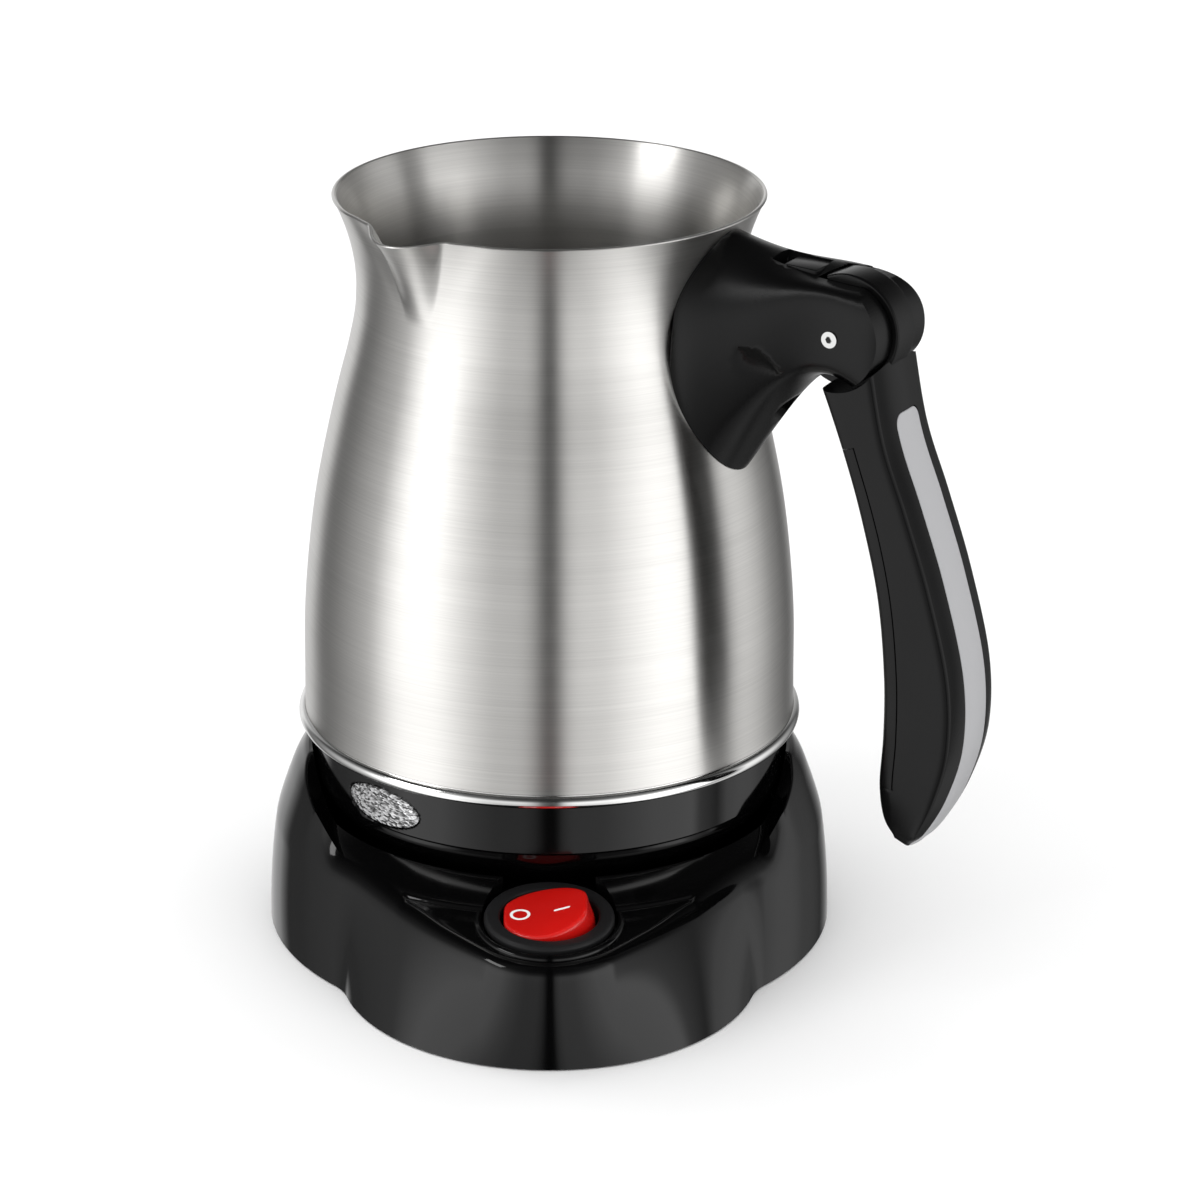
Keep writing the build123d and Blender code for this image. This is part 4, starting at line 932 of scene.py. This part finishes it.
def cross_prism(corners, near, far):
    """Prism along Y over an outline in the handle's plane."""
    corners = np.asarray(corners, float)
    middle = corners.mean(0)
    rows = []
    for share, y in ((0.1, near), (1.0, near), (1.0, far), (0.1, far)):
        x, z = np.transpose(middle + (corners - middle) * share)
        rows.append(xyz(x, y, z))
    return np.array(rows)


def spring_start(sizes):
    """Place along X of the spring's fixed end."""
    return sizes.pin_out - sizes.tongue_radius - SPRING_GAP - SPRING_LENGTH


def spring_surface(sizes):
    """Catch spring: a round wire carried along a helix between arm and slide, its end turns closed up."""
    radius, wire, turns, gap, rise = 1.4, 0.3, 5.0, 0.05, 6.6
    level = sizes.pin_height + rise
    t = np.linspace(0, 1, 400)[:, None]
    ring = steps_round(12)
    turn = TAU * turns * t
    run = np.interp(t, [0, 0.14, 0.86, 1], [0, 0.09, 0.91, 1])
    x = spring_start(sizes) + wire + gap + (SPRING_LENGTH - 2 * wire - 2 * gap) * run + wire * np.sin(ring)
    r = radius + wire * np.cos(ring)
    return xyz(x, r * np.cos(turn), level + r * np.sin(turn))


def grip_frame(sizes, along):
    """Inner edge, outer edge and half width of the grip at shares of its length."""
    places = np.linspace(0, 1, len(GRIP_EDGES))
    edges = through(places, GRIP_EDGES, along)
    return edges[..., :2], edges[..., 2:], through(places, sizes.grip_half - GRIP_NARROWING, along)


def in_handle_plane(inner, outer, depth, across):
    """Points at depths from the inner edge towards the outer edge, and at distances across."""
    span = outer - inner
    unit = span / np.linalg.norm(span, axis=-1, keepdims=True)
    place = inner + depth[..., None] * unit
    return xyz(place[..., 0], across, place[..., 1])


def back_drop(half, across):
    """How far the crowned back falls away from its middle line, a parabola across."""
    return 0.145 * half * (across / (0.93 * half)) ** 2


def inlay_edge(sizes, crown, across, grow):
    """Distance outside the inlay's outline, a slot with round corners, at a crown's height and across."""
    half = sizes.inlay_half + grow
    q = np.stack([np.abs(across) - (half - INLAY_CORNER), crown - (INLAY_TOP + grow - INLAY_CORNER)], -1)
    return np.linalg.norm(np.maximum(q, 0), axis=-1) + np.minimum(q.max(-1), 0) - INLAY_CORNER


def grip_section(sizes, along):
    """Half section at every place along, from the back's middle round the flank to the inner side's middle.

    Back and inner side are shallow parabolas, the flank is flat, and parabolic bends join them. Returns the
    depth from the inner edge, the distance across and the depth of the parting line.
    """
    crown, parting, heel_limit = 0.35, 3.4, 1.9
    inner, outer, half = grip_frame(sizes, along)
    deep = np.linalg.norm(outer - inner, axis=-1)
    joint = np.minimum(parting, 0.3 * deep)
    t = np.linspace(0.12, 1, 8)
    edge = 0.905 * half
    beyond = BACK_COLUMNS[-1] + (edge - BACK_COLUMNS[-1]) * np.linspace(0.14, 1, 7)
    back_w = np.concatenate([BACK_COLUMNS + 0 * half, beyond], -1)
    back_d = deep - back_drop(half, back_w)
    edge_d = back_d[:, -1:]
    flank_d = edge_d - 0.19 * half
    bend_w = bend(edge, half, half, t)
    bend_d = bend(edge_d, edge_d - 0.02 * half, flank_d, t)
    down = flank_d + (joint + 0.35 - flank_d) * np.linspace(0.15, 1, 7)
    near = joint + np.array([0.14, 0.07, 0.0, -0.07, -0.14, -0.3])
    flank = np.concatenate([down, near], -1)
    heel = np.minimum(heel_limit, 0.16 * deep)
    low_w = half - heel
    heel_w = bend(half, half, low_w, t)
    heel_d = bend(heel, crown, crown * (low_w / half) ** 2, t)
    inner_w = low_w * np.linspace(0.86, 0, 7)
    inner_d = crown * (inner_w / half) ** 2
    depth = np.concatenate([back_d, bend_d, flank, heel_d, inner_d], -1)
    across = np.concatenate([back_w, bend_w, half + 0 * flank, heel_w, inner_w], -1)
    return depth, across, joint


def whole_section(depth, across):
    """A half section and its mirror image as one ring of columns."""
    return np.concatenate([depth, depth[:, -2:0:-1]], -1), np.concatenate([across, -across[:, -2:0:-1]], -1)


def parting_groove(depth, across, joint, half):
    """Fine groove in the flank along the parting line, round like exp(-x^2)."""
    return 0.16 * np.exp(-((depth - joint) / 0.08) ** 2) * (across > 0.6 * half)


def domed(points, middle, step):
    """The last rows drawn in about the middle and moved on along the step, so that the tip is a dome."""
    ahead = step / np.linalg.norm(step)
    turn = np.radians(np.linspace(12, 84, DOME_ROWS))[:, None, None]
    points[-DOME_ROWS:] = middle + (points[-1] - middle) * np.cos(turn) + ahead * DOME_REACH * np.sin(turn)
    return points


def grip_surface(sizes):
    """Moulding of the grip, with a pocket for the inlay in its back and a flat seat for the inner cover."""
    hair, pocket = 0.0004, 0.8
    runs = ((0, 0.08, 7), (0.085, 0.124, 40), (COVER_FROM - hair, COVER_FROM + hair, 2), (0.13, 0.745, 84),
            (COVER_TO - hair, COVER_TO + hair, 2), (0.76, 1, 34), (1, 1, DOME_ROWS))
    along = np.concatenate([np.linspace(*run) for run in runs])[:, None]
    depth, across, joint = grip_section(sizes, along)
    inner, outer, half = grip_frame(sizes, along)
    outside = inlay_edge(sizes, outer[..., 1] + 0 * across, across, 0.06)
    on_back = np.arange(depth.shape[1]) < len(BACK_COLUMNS)
    depth = np.where(on_back, depth - pocket * np.clip(-outside / 0.07, 0, 1), depth)
    covered = (along > COVER_FROM) & (along < COVER_TO)
    across = across - parting_groove(depth, across, joint, half) * covered
    depth = np.where(covered, np.maximum(depth, joint), depth)
    points = in_handle_plane(inner, outer, *whole_section(depth, across))
    middle = points[-1].mean(0)
    return domed(points, middle, middle - points[-DOME_ROWS - 3].mean(0))


def cover_surface(sizes):
    """Inner cover: the section below the parting line, over the cover's own length."""
    gap = 0.0014
    along = np.linspace(COVER_FROM + gap, COVER_TO - gap, 120)[:, None]
    depth, across, joint = grip_section(sizes, along)
    inner, outer, half = grip_frame(sizes, along)
    across = across - parting_groove(depth, across, joint, half)
    return in_handle_plane(inner, outer, *whole_section(np.minimum(depth, joint - 0.04), across))


def inlay_surface(sizes):
    """Grey strip: the back's own surface inside the outline, with fallen edges, and a floor under it.

    Each column starts where the back's height is that of the outline's round upper end.
    """
    gap, thick = 0.03, 0.7
    half_in = sizes.inlay_half - gap
    across = half_in * np.sin(np.linspace(-1, 1, 61) * math.pi / 2)
    aside = np.clip(np.abs(across) - half_in + INLAY_CORNER, 0, None)
    tops = INLAY_TOP - gap - INLAY_CORNER + np.sqrt(np.maximum(INLAY_CORNER ** 2 - aside ** 2, 0))
    table = np.linspace(0, 0.3, 400)
    crowns = grip_frame(sizes, table)[1][:, 1]
    starts = np.interp(-tops, -crowns, table)
    shares = [0, 0.001, 0.002, 0.0035, 0.006, 0.01], np.linspace(0.016, 1, 120), np.ones(DOME_ROWS)
    along = starts + (1 - starts) * np.concatenate(shares)[:, None]
    inner, outer, half = grip_frame(sizes, along)
    across = across + 0 * along
    back = np.linalg.norm(outer - inner, axis=-1) - back_drop(half, across)
    edge = inlay_edge(sizes, outer[..., 1], across, -gap)
    fallen = 0.13 * np.clip(1 + edge / 0.2, 0, 1) ** 2
    top, under = (in_handle_plane(inner, outer, back - drop, across) for drop in (fallen, thick))
    points = np.concatenate([top, under[:, ::-1]], 1)
    tip_inner, tip_outer, _ = grip_frame(sizes, np.array([0.985, 1.0]))
    x, z = np.transpose(tip_inner + tip_outer) / 2
    middles = xyz(x, 0.0, z)
    return domed(points, middles[1], middles[1] - middles[0])


# ------------------------------------------------------------------ the studio
# Tone of the mirrored walls at degrees from the camera's side, and at shares of the way from below to above.
WALL_TONES = (
    (-180, 0.9), (-146, 0.9), (-134, 0.15), (-120, 0.25), (-104, 0.5), (-90, 0.75), (-83, 1.3), (-74, 1.9),
    (-54, 1.9), (-38, 1.2), (-26, 0.85), (-12, 0.85), (-7, 0.6), (-2, 0.03), (3.5, 0.03), (6.5, 0.75),
    (11, 1.1), (26, 1.15), (36, 1.5), (52, 2.0), (74, 2.0), (79, 0.9), (90, 0.35), (97, 1.05),
    (106, 1.0), (116, 0.75), (126, 0.4), (148, 0.1), (180, 1.0),
)
LEVEL_TONES = (
    (0.0, 0.5), (0.2, 0.75), (0.36, 0.9), (0.5, 1.0), (0.62, 0.9), (0.72, 0.4), (0.85, 0.1), (1.0, 0.03),
)

# The ramps hold tones up to 1, so the walls' tones are divided by this and their light multiplied by it.
BRIGHTEST_WALL = 2

# Soft boxes: name, degrees from the camera's side (positive to its right), then distance, level, width and
# height in metres, and watts before the Light setting.
SOFT_BOXES = (
    ("lamp_left", -44, 1.25, 0.42, 0.95, 1.25, 26.0),
    ("lamp_right", 40, 1.3, 0.42, 0.75, 1.25, 20.0),
    ("lamp_far_left", -118, 1.3, 0.5, 0.6, 1.2, 14.0),
    ("lamp_far_right", 122, 1.3, 0.5, 0.8, 1.2, 14.0),
    ("lamp_top", 180, 0.35, 1.9, 2.4, 2.4, 55.0),
    ("lamp_sheen", -70, 1.05, 0.85, 0.5, 0.3, 19.0),
)


def tone_ramp(tree, value, tones):
    """Grey ramp over pairs of a place and a tone."""
    made = add_node(tree, "ShaderNodeValToRGB", ("Fac", value))
    made.color_ramp.interpolation = "LINEAR"
    points = made.color_ramp.elements
    while len(points) < len(tones):
        points.new(0.5)
    for point, (place, tone) in zip(points, tones):
        point.position, point.color = place, (tone, tone, tone, 1)
    return made.outputs[0]


def studio_air(studio):
    """Even white air for floor and matt surfaces, and pale and dark walls that only glossy surfaces mirror.

    The walls' tone is a ramp over the angle from the camera's side, times a second ramp over height.
    """
    world = bpy.data.worlds.new("studio_air")
    world.use_nodes = True
    tree = world.node_tree
    tree.nodes.clear()

    def reckon(operation, *values):
        """Output of a math node over the values."""
        return add_node(tree, "ShaderNodeMath", *enumerate(values), operation=operation).outputs[0]

    direction = add_node(tree, "ShaderNodeTexCoord").outputs["Generated"]
    around = add_node(tree, "ShaderNodeVectorRotate", ("Vector", direction), ("Angle", -studio.camera_turn),
                      rotation_type="Z_AXIS")
    x, y, z = add_node(tree, "ShaderNodeSeparateXYZ", ("Vector", around.outputs[0])).outputs
    angle = reckon("ARCTAN2", x, reckon("MULTIPLY", y, -1.0))
    tones = [(0.5 + degree / 360, tone / BRIGHTEST_WALL) for degree, tone in WALL_TONES]
    walls = tone_ramp(tree, reckon("MULTIPLY_ADD", angle, 1 / TAU, 0.5), tones)
    levels = tone_ramp(tree, reckon("MULTIPLY_ADD", z, 0.5, 0.5), LEVEL_TONES)
    mixed = add_node(tree, "ShaderNodeMix", (0, 1.0), (6, walls), (7, levels), data_type="RGBA",
                     blend_type="MULTIPLY")
    mirrored = add_node(tree, "ShaderNodeBackground", ("Color", mixed.outputs[2]),
                        ("Strength", BRIGHTEST_WALL * studio.mirror))
    even = add_node(tree, "ShaderNodeBackground", ("Color", (1, 1, 1, 1)), ("Strength", studio.air))
    glossy = add_node(tree, "ShaderNodeLightPath").outputs["Is Glossy Ray"]
    pair = (1, even.outputs[0]), (2, mirrored.outputs[0])
    chosen = add_node(tree, "ShaderNodeMixShader", (0, glossy), *pair)
    add_node(tree, "ShaderNodeOutputWorld", ("Surface", chosen.outputs[0]))
    return world


# ------------------------------------------------------------------ operators
class COFFEE_OT_pot(bpy.types.Operator):
    """Make the brushed steel pot and its polished trim ring."""
    bl_idname = "coffee.pot"
    bl_label = "Pot and Trim Ring"

    def execute(self, context):
        sizes, colours = Millimetres(context.scene.pot_sizes), context.scene.finish_colours
        pot = skin("pot_steel", pot_surface(sizes))
        finish_piece(pot, "pot", "brushed_pot", brushed_steel(colours), "pot_shell", angle=50)
        bead = skin("pot_trim_ring", bead_surface(sizes), closed_rows=True)
        finish_piece(bead, "pot", "polished_bead", polished_steel("polished_trim"), "bead_ring")
        return {"FINISHED"}


class COFFEE_OT_skirt(bpy.types.Operator):
    """Make the gloss black skirt under the steel and its oval window."""
    bl_idname = "coffee.skirt"
    bl_label = "Skirt and Window"

    def execute(self, context):
        sizes, colours = Millimetres(context.scene.pot_sizes), context.scene.finish_colours
        black = gloss_plastic("gloss_black_skirt", colours.gloss_black)
        skirt = skin("skirt_moulding", skirt_surface(sizes), closed_rows=True)
        finish_piece(skirt, "pot", "gloss_black", black, "heater_skirt")
        lens = skin("window_oval", lens_surface(sizes))
        finish_piece(lens, "pot", "clear_lens", prismatic_window(), "indicator_lens")
        return {"FINISHED"}


class COFFEE_OT_housing(bpy.types.Operator):
    """Make the moulded base with its well, front panel and the rim round the switch."""
    bl_idname = "coffee.housing"
    bl_label = "Base Moulding"

    def execute(self, context):
        sizes, colours = Millimetres(context.scene.base_sizes), context.scene.finish_colours
        black = gloss_plastic("gloss_black_base", colours.gloss_black, 0.07)
        housing = skin("base_moulding", turned(housing_surface(sizes), BASE_TURN))
        back, beyond = sizes.foot_radius, sizes.foot_radius + 6
        cutters = (
            ("switch_hole", at_switch(sizes, drum(10.0, -9, 6))),
            ("switch_seat", at_switch(sizes, drum(sizes.boss_radius - 1.2, -0.9, 14, 160))),
            ("gland_seat", turned(cross_drum(7.3, 0, CORD_LEVEL, back - 1.9, beyond), BASE_TURN)),
            ("gland_bore", turned(cross_drum(5.55, 0, CORD_LEVEL, back - 9, beyond), BASE_TURN)),
        )
        combine(housing, "DIFFERENCE", *(skin(name, points) for name, points in cutters))
        finish_piece(housing, "base", "gloss_black", black, "base_housing", angle=40)
        rim = skin("switch_rim", boss_surface(sizes), closed_rows=True)
        finish_piece(rim, "base", "gloss_black", black)
        return {"FINISHED"}


class COFFEE_OT_switch(bpy.types.Operator):
    """Make the bezel, the rocker cap and its two printed marks."""
    bl_idname = "coffee.switch"
    bl_label = "Switch"

    def execute(self, context):
        sizes, colours = Millimetres(context.scene.base_sizes), context.scene.finish_colours
        bezel = skin("switch_bezel", bezel_surface(sizes))
        matt_black = satin_plastic("bezel_black_moulding", (0.012, 0.012, 0.0125), 0.4)
        finish_piece(bezel, "base", "bezel_black", matt_black, "switch_body")
        rocker = skin("rocker_cap", rocker_surface(sizes))
        finish_piece(rocker, "rocker", "rocker_red", rocker_plastic(colours), "rocker", angle=60)
        print_white = satin_plastic("print_white", colours.marks, 0.45, depth=0.000003)
        marks = skin("mark_ring", ring_mark(sizes), closed_rows=True), skin("mark_bar", bar_mark(sizes))
        for mark in marks:
            finish_piece(mark, "rocker", "inlay_grey", print_white)
        return {"FINISHED"}


class COFFEE_OT_bracket(bpy.types.Operator):
    """Make the arm on the pot with its forked knuckle, the small release slide and its catch spring.

    Arm and slide are welded copies of the packed solids.
    """
    bl_idname = "coffee.bracket"
    bl_label = "Bracket and Latch"

    def execute(self, context):
        sizes, colours = Millimetres(context.scene.handle_sizes), context.scene.finish_colours
        satin = satin_plastic("satin_black_bracket", colours.satin_black, 0.25)
        arm = copy_of_node("handle_bracket", "handle_arm")
        finish_piece(arm, "pot", "satin_black", satin, "handle_bracket", angle=30)
        latch = copy_of_node("release_latch", "release_slide")
        bevel = latch.modifiers.new("bevel", "BEVEL")
        bevel.width, bevel.segments, bevel.limit_method = 0.25 * MM, 3, "ANGLE"
        apply_modifiers(latch)
        finish_piece(latch, "latch", "satin_black", satin, "release_latch")
        spring = skin("catch_spring", spring_surface(sizes))
        wire = plain_metal("catch_spring_wire", (0.5, 0.5, 0.52), 0.25)
        finish_piece(spring, "pot", "spring_steel", wire, "latch_spring")
        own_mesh(spring)
        return {"FINISHED"}


class COFFEE_OT_grip(bpy.types.Operator):
    """Make the folding grip with its tongue, its inner cover and the grey inlay."""
    bl_idname = "coffee.grip"
    bl_label = "Grip"

    def execute(self, context):
        sizes, colours = Millimetres(context.scene.handle_sizes), context.scene.finish_colours
        satin = satin_plastic("satin_black_grip", colours.satin_black, 0.22)
        grey = satin_plastic("inlay_grey_moulding", colours.inlay, 0.32, 2600.0, 0.000006)
        pin = sizes.pin_out, sizes.pin_height
        body = skin("grip_moulding", grip_surface(sizes))
        cover = skin("grip_cover", cover_surface(sizes))
        strip = skin("grip_strip", inlay_surface(sizes))
        combine(body, "DIFFERENCE", skin("hollow", cross_drum(9.85, *pin, -20, 20, 240)))
        shank, head, deep, outwards = 1.1, 2.15, 9.0, -10
        holes = (body, shank, 0, deep), (cover, shank, outwards, deep), (cover, head, outwards, 0)
        for x, z in GRIP_EDGES[[2, 5], :2]:
            seat = x + 1.2
            for piece, radius, near, far in holes:
                hole = cross_drum(radius, 0, z, seat + near, seat + far, 48)
                combine(piece, "DIFFERENCE", skin("screw_hole", turned(hole, -math.pi / 2)))
        finish_piece(body, "grip", "satin_black", satin, "grip_body", angle=40)
        finish_piece(cover, "grip", "satin_black", satin, "grip_inner_cover", angle=40)
        finish_piece(strip, "grip", "inlay_grey", grey, "grip_inlay", angle=60)
        finish_piece(self.tongue(sizes, pin), "grip", "satin_black", satin, angle=40)
        return {"FINISHED"}

    @staticmethod
    def tongue(sizes, pin):
        """Disc between the cheeks, with its neck, its two catch notches and the bore for the bush."""
        half, out = sizes.tongue_half, sizes.tongue_radius

        def bar(name, turn, start, end, wide, reach):
            """Box along a direction from the pin."""
            corners = (start, -wide), (end, -wide), (end, wide), (start, wide)
            along, aside = np.transpose(corners).astype(float)
            x, z = swung(along, aside, math.radians(turn))
            return skin(name, cross_prism(np.stack([pin[0] + x, pin[1] + z], -1), -reach, reach))

        section = rounded(disc_section(out, -half, half), 0.55, 7)
        disc = skin("grip_tongue", cross_spun(section, *pin, 240))
        combine(disc, "UNION", bar("neck", -62, 3.0, 12.6, 4.4, half - 0.03))
        notches = (bar("notch", turn, out - 0.8, out + 0.8, 1.2, 10) for turn in (120, 210))
        combine(disc, "DIFFERENCE", *notches, skin("bore", cross_drum(BUSH_BORE, *pin, -10, 10)))
        return disc


class COFFEE_OT_inner(bpy.types.Operator):
    """Give the packed solids that stay their finishes."""
    bl_idname = "coffee.inner"
    bl_label = "Fittings and Inner Parts"

    def execute(self, context):
        black = satin_plastic("matt_black_moulding", (0.03, 0.03, 0.032), 0.5)
        zinc = plain_metal("zinc_plate", (0.6, 0.6, 0.62), 0.32)
        brass = plain_metal("contact_brass_strip", (0.8, 0.6, 0.28), 0.25)
        sheath = plain_metal("element_sheath", (0.42, 0.41, 0.4), 0.42)
        cutout = plain_metal("cutout_case", (0.65, 0.65, 0.66), 0.3)
        finishes = (
            (black, "base_bottom_cover coupler_socket cord_clamp pot_connector"),
            (zinc, "bottom_cover_screws coupler_screws cord_clamp_screws skirt_screws bracket_screw pin_nut "
                   "grip_screws"),
            (brass, "coupler_contacts switch_terminals connector_contacts hinge_bush"),
            (sheath, "heating_element element_terminals"),
            (cutout, "thermostat thermal_fuse"),
            (rubber("foot_rubber", (0.03, 0.03, 0.03)), "rubber_feet"),
            (rubber("gland_rubber_black", (0.025, 0.025, 0.025)), "cord_gland"),
            (rubber("seal_silicone_white", (0.7, 0.7, 0.68)), "skirt_gasket"),
            (satin_plastic("ring_nylon_natural", (0.55, 0.55, 0.53), 0.4), "turn_ring"),
            (plain_metal("plate_aluminium_turned", (0.75, 0.75, 0.76), 0.35), "heating_plate"),
            (plain_metal("bracket_steel_strap", (0.55, 0.55, 0.56), 0.35), "bracket_plate"),
            (polished_steel("pin_bright", 0.5), "hinge_pin"),
            (lamp_glass(), "indicator_lamp"),
        )
        for material, names in finishes:
            for name in names.split():
                mesh = nodes[name].data
                mesh.materials.clear()
                mesh.materials.append(material)
        return {"FINISHED"}


class COFFEE_OT_studio(bpy.types.Operator):
    """Make the floor, the lamps and the camera."""
    bl_idname = "coffee.studio"
    bl_label = "Studio"

    def execute(self, context):
        scene, studio = context.scene, context.scene.studio_settings
        scene.view_settings.view_transform = "Standard"
        self.floor(scene)
        self.lamps(scene, studio)
        self.camera(scene, studio)
        return {"FINISHED"}

    @staticmethod
    def floor(scene):
        """Wide sheet of paper, an even grid of squares."""
        squares, reach = 8, 6.0
        span = np.linspace(-reach, reach, squares + 1)
        x, y = np.meshgrid(span, span, indexing="ij")
        step = np.arange(squares)
        corner = (step[:, None] * (squares + 1) + step).ravel()
        faces = np.stack([corner, corner + squares + 1, corner + squares + 2, corner + 1], -1)
        mesh = bpy.data.meshes.new("studio_floor")
        mesh.from_pydata(xyz(x, y, 0.0).reshape(-1, 3).tolist(), [], faces.tolist())
        floor = place("studio_floor", mesh)
        paper = Finish("paper_floor", scene.finish_colours.floor, 0.6, 0.0, Specular_IOR_Level=0.2)
        paper.rough(paper.noise(3.0), 0.55, 0.68)
        paper.bump(paper.noise(700.0), 0.00002, 0.1)
        floor.data.materials.append(paper.material)
        floor.visible_glossy = False

    @staticmethod
    def lamps(scene, studio):
        """Soft boxes round the part, aimed at its middle, and the air; gloss mirrors only the sheen lamp."""
        for name, angle, out, up, wide, high, power in SOFT_BOXES:
            data = bpy.data.lights.new(name, "AREA")
            data.shape, data.size, data.size_y, data.energy = "RECTANGLE", wide, high, power * studio.light
            lamp = bpy.data.objects.new(name, data)
            turn = -math.pi / 2 + studio.camera_turn + math.radians(angle)
            lamp.location = (out * math.cos(turn), out * math.sin(turn), up)
            x, y, z = np.array([0, 0, 0.07]) - np.array(lamp.location)
            pitch, heading = math.atan2(z, math.hypot(x, y)), math.atan2(y, x)
            lamp.rotation_euler = (math.pi / 2 + pitch, 0, heading - math.pi / 2)
            lamp.visible_glossy = name == "lamp_sheen"
            scene.collection.objects.link(lamp)
        scene.world = studio_air(studio)

    @staticmethod
    def camera(scene, studio):
        """Camera that looks down at the pot's axis from its distance, height and turn."""
        data = bpy.data.cameras.new("studio_camera")
        data.lens, data.sensor_width, data.shift_x = studio.lens, 36.0, studio.shift
        data.clip_start, data.clip_end = 0.02, 30.0
        camera = bpy.data.objects.new("studio_camera", data)
        turn, distance = studio.camera_turn, studio.camera_distance
        camera.location = (distance * math.sin(turn), -distance * math.cos(turn), studio.camera_height)
        camera.rotation_euler = (math.pi / 2 - studio.camera_pitch, 0, turn)
        scene.collection.objects.link(camera)
        scene.camera = camera


OPERATORS = (COFFEE_OT_pot, COFFEE_OT_skirt, COFFEE_OT_housing, COFFEE_OT_switch, COFFEE_OT_bracket,
             COFFEE_OT_grip, COFFEE_OT_inner, COFFEE_OT_studio)


class COFFEE_PT_panel(bpy.types.Panel):
    """Lists the sizes, colours and makers of the coffee maker."""
    bl_idname = "COFFEE_PT_panel"
    bl_label = "Coffee Maker"
    bl_space_type = "VIEW_3D"
    bl_region_type = "UI"
    bl_category = "Coffee Maker"

    def draw(self, context):
        for operator in OPERATORS:
            self.layout.operator(operator.bl_idname)
        for group in GROUPS:
            box = self.layout.box()
            box.label(text=group.__doc__)
            values = getattr(context.scene, GROUPS[group])
            for name in group.__annotations__:
                box.prop(values, name)


GROUPS = {
    PotSizes: "pot_sizes",
    BaseSizes: "base_sizes",
    HandleSizes: "handle_sizes",
    FinishColours: "finish_colours",
    StudioSettings: "studio_settings",
}


def register():
    """Registers the classes and gives the scene its groups of settings."""
    for kind in (*GROUPS, *OPERATORS, COFFEE_PT_panel):
        bpy.utils.register_class(kind)
    for group, name in GROUPS.items():
        setattr(bpy.types.Scene, name, bpy.props.PointerProperty(type=group))


def unregister():
    """Takes back what register gave."""
    for name in GROUPS.values():
        delattr(bpy.types.Scene, name)
    for kind in reversed((*GROUPS, *OPERATORS, COFFEE_PT_panel)):
        bpy.utils.unregister_class(kind)


def main():
    """Makes everything in order."""
    register()
    for operator in ("pot", "skirt", "housing", "switch", "bracket", "grip", "inner", "studio"):
        getattr(bpy.ops.coffee, operator)()


if __name__ == "__main__":
    main()
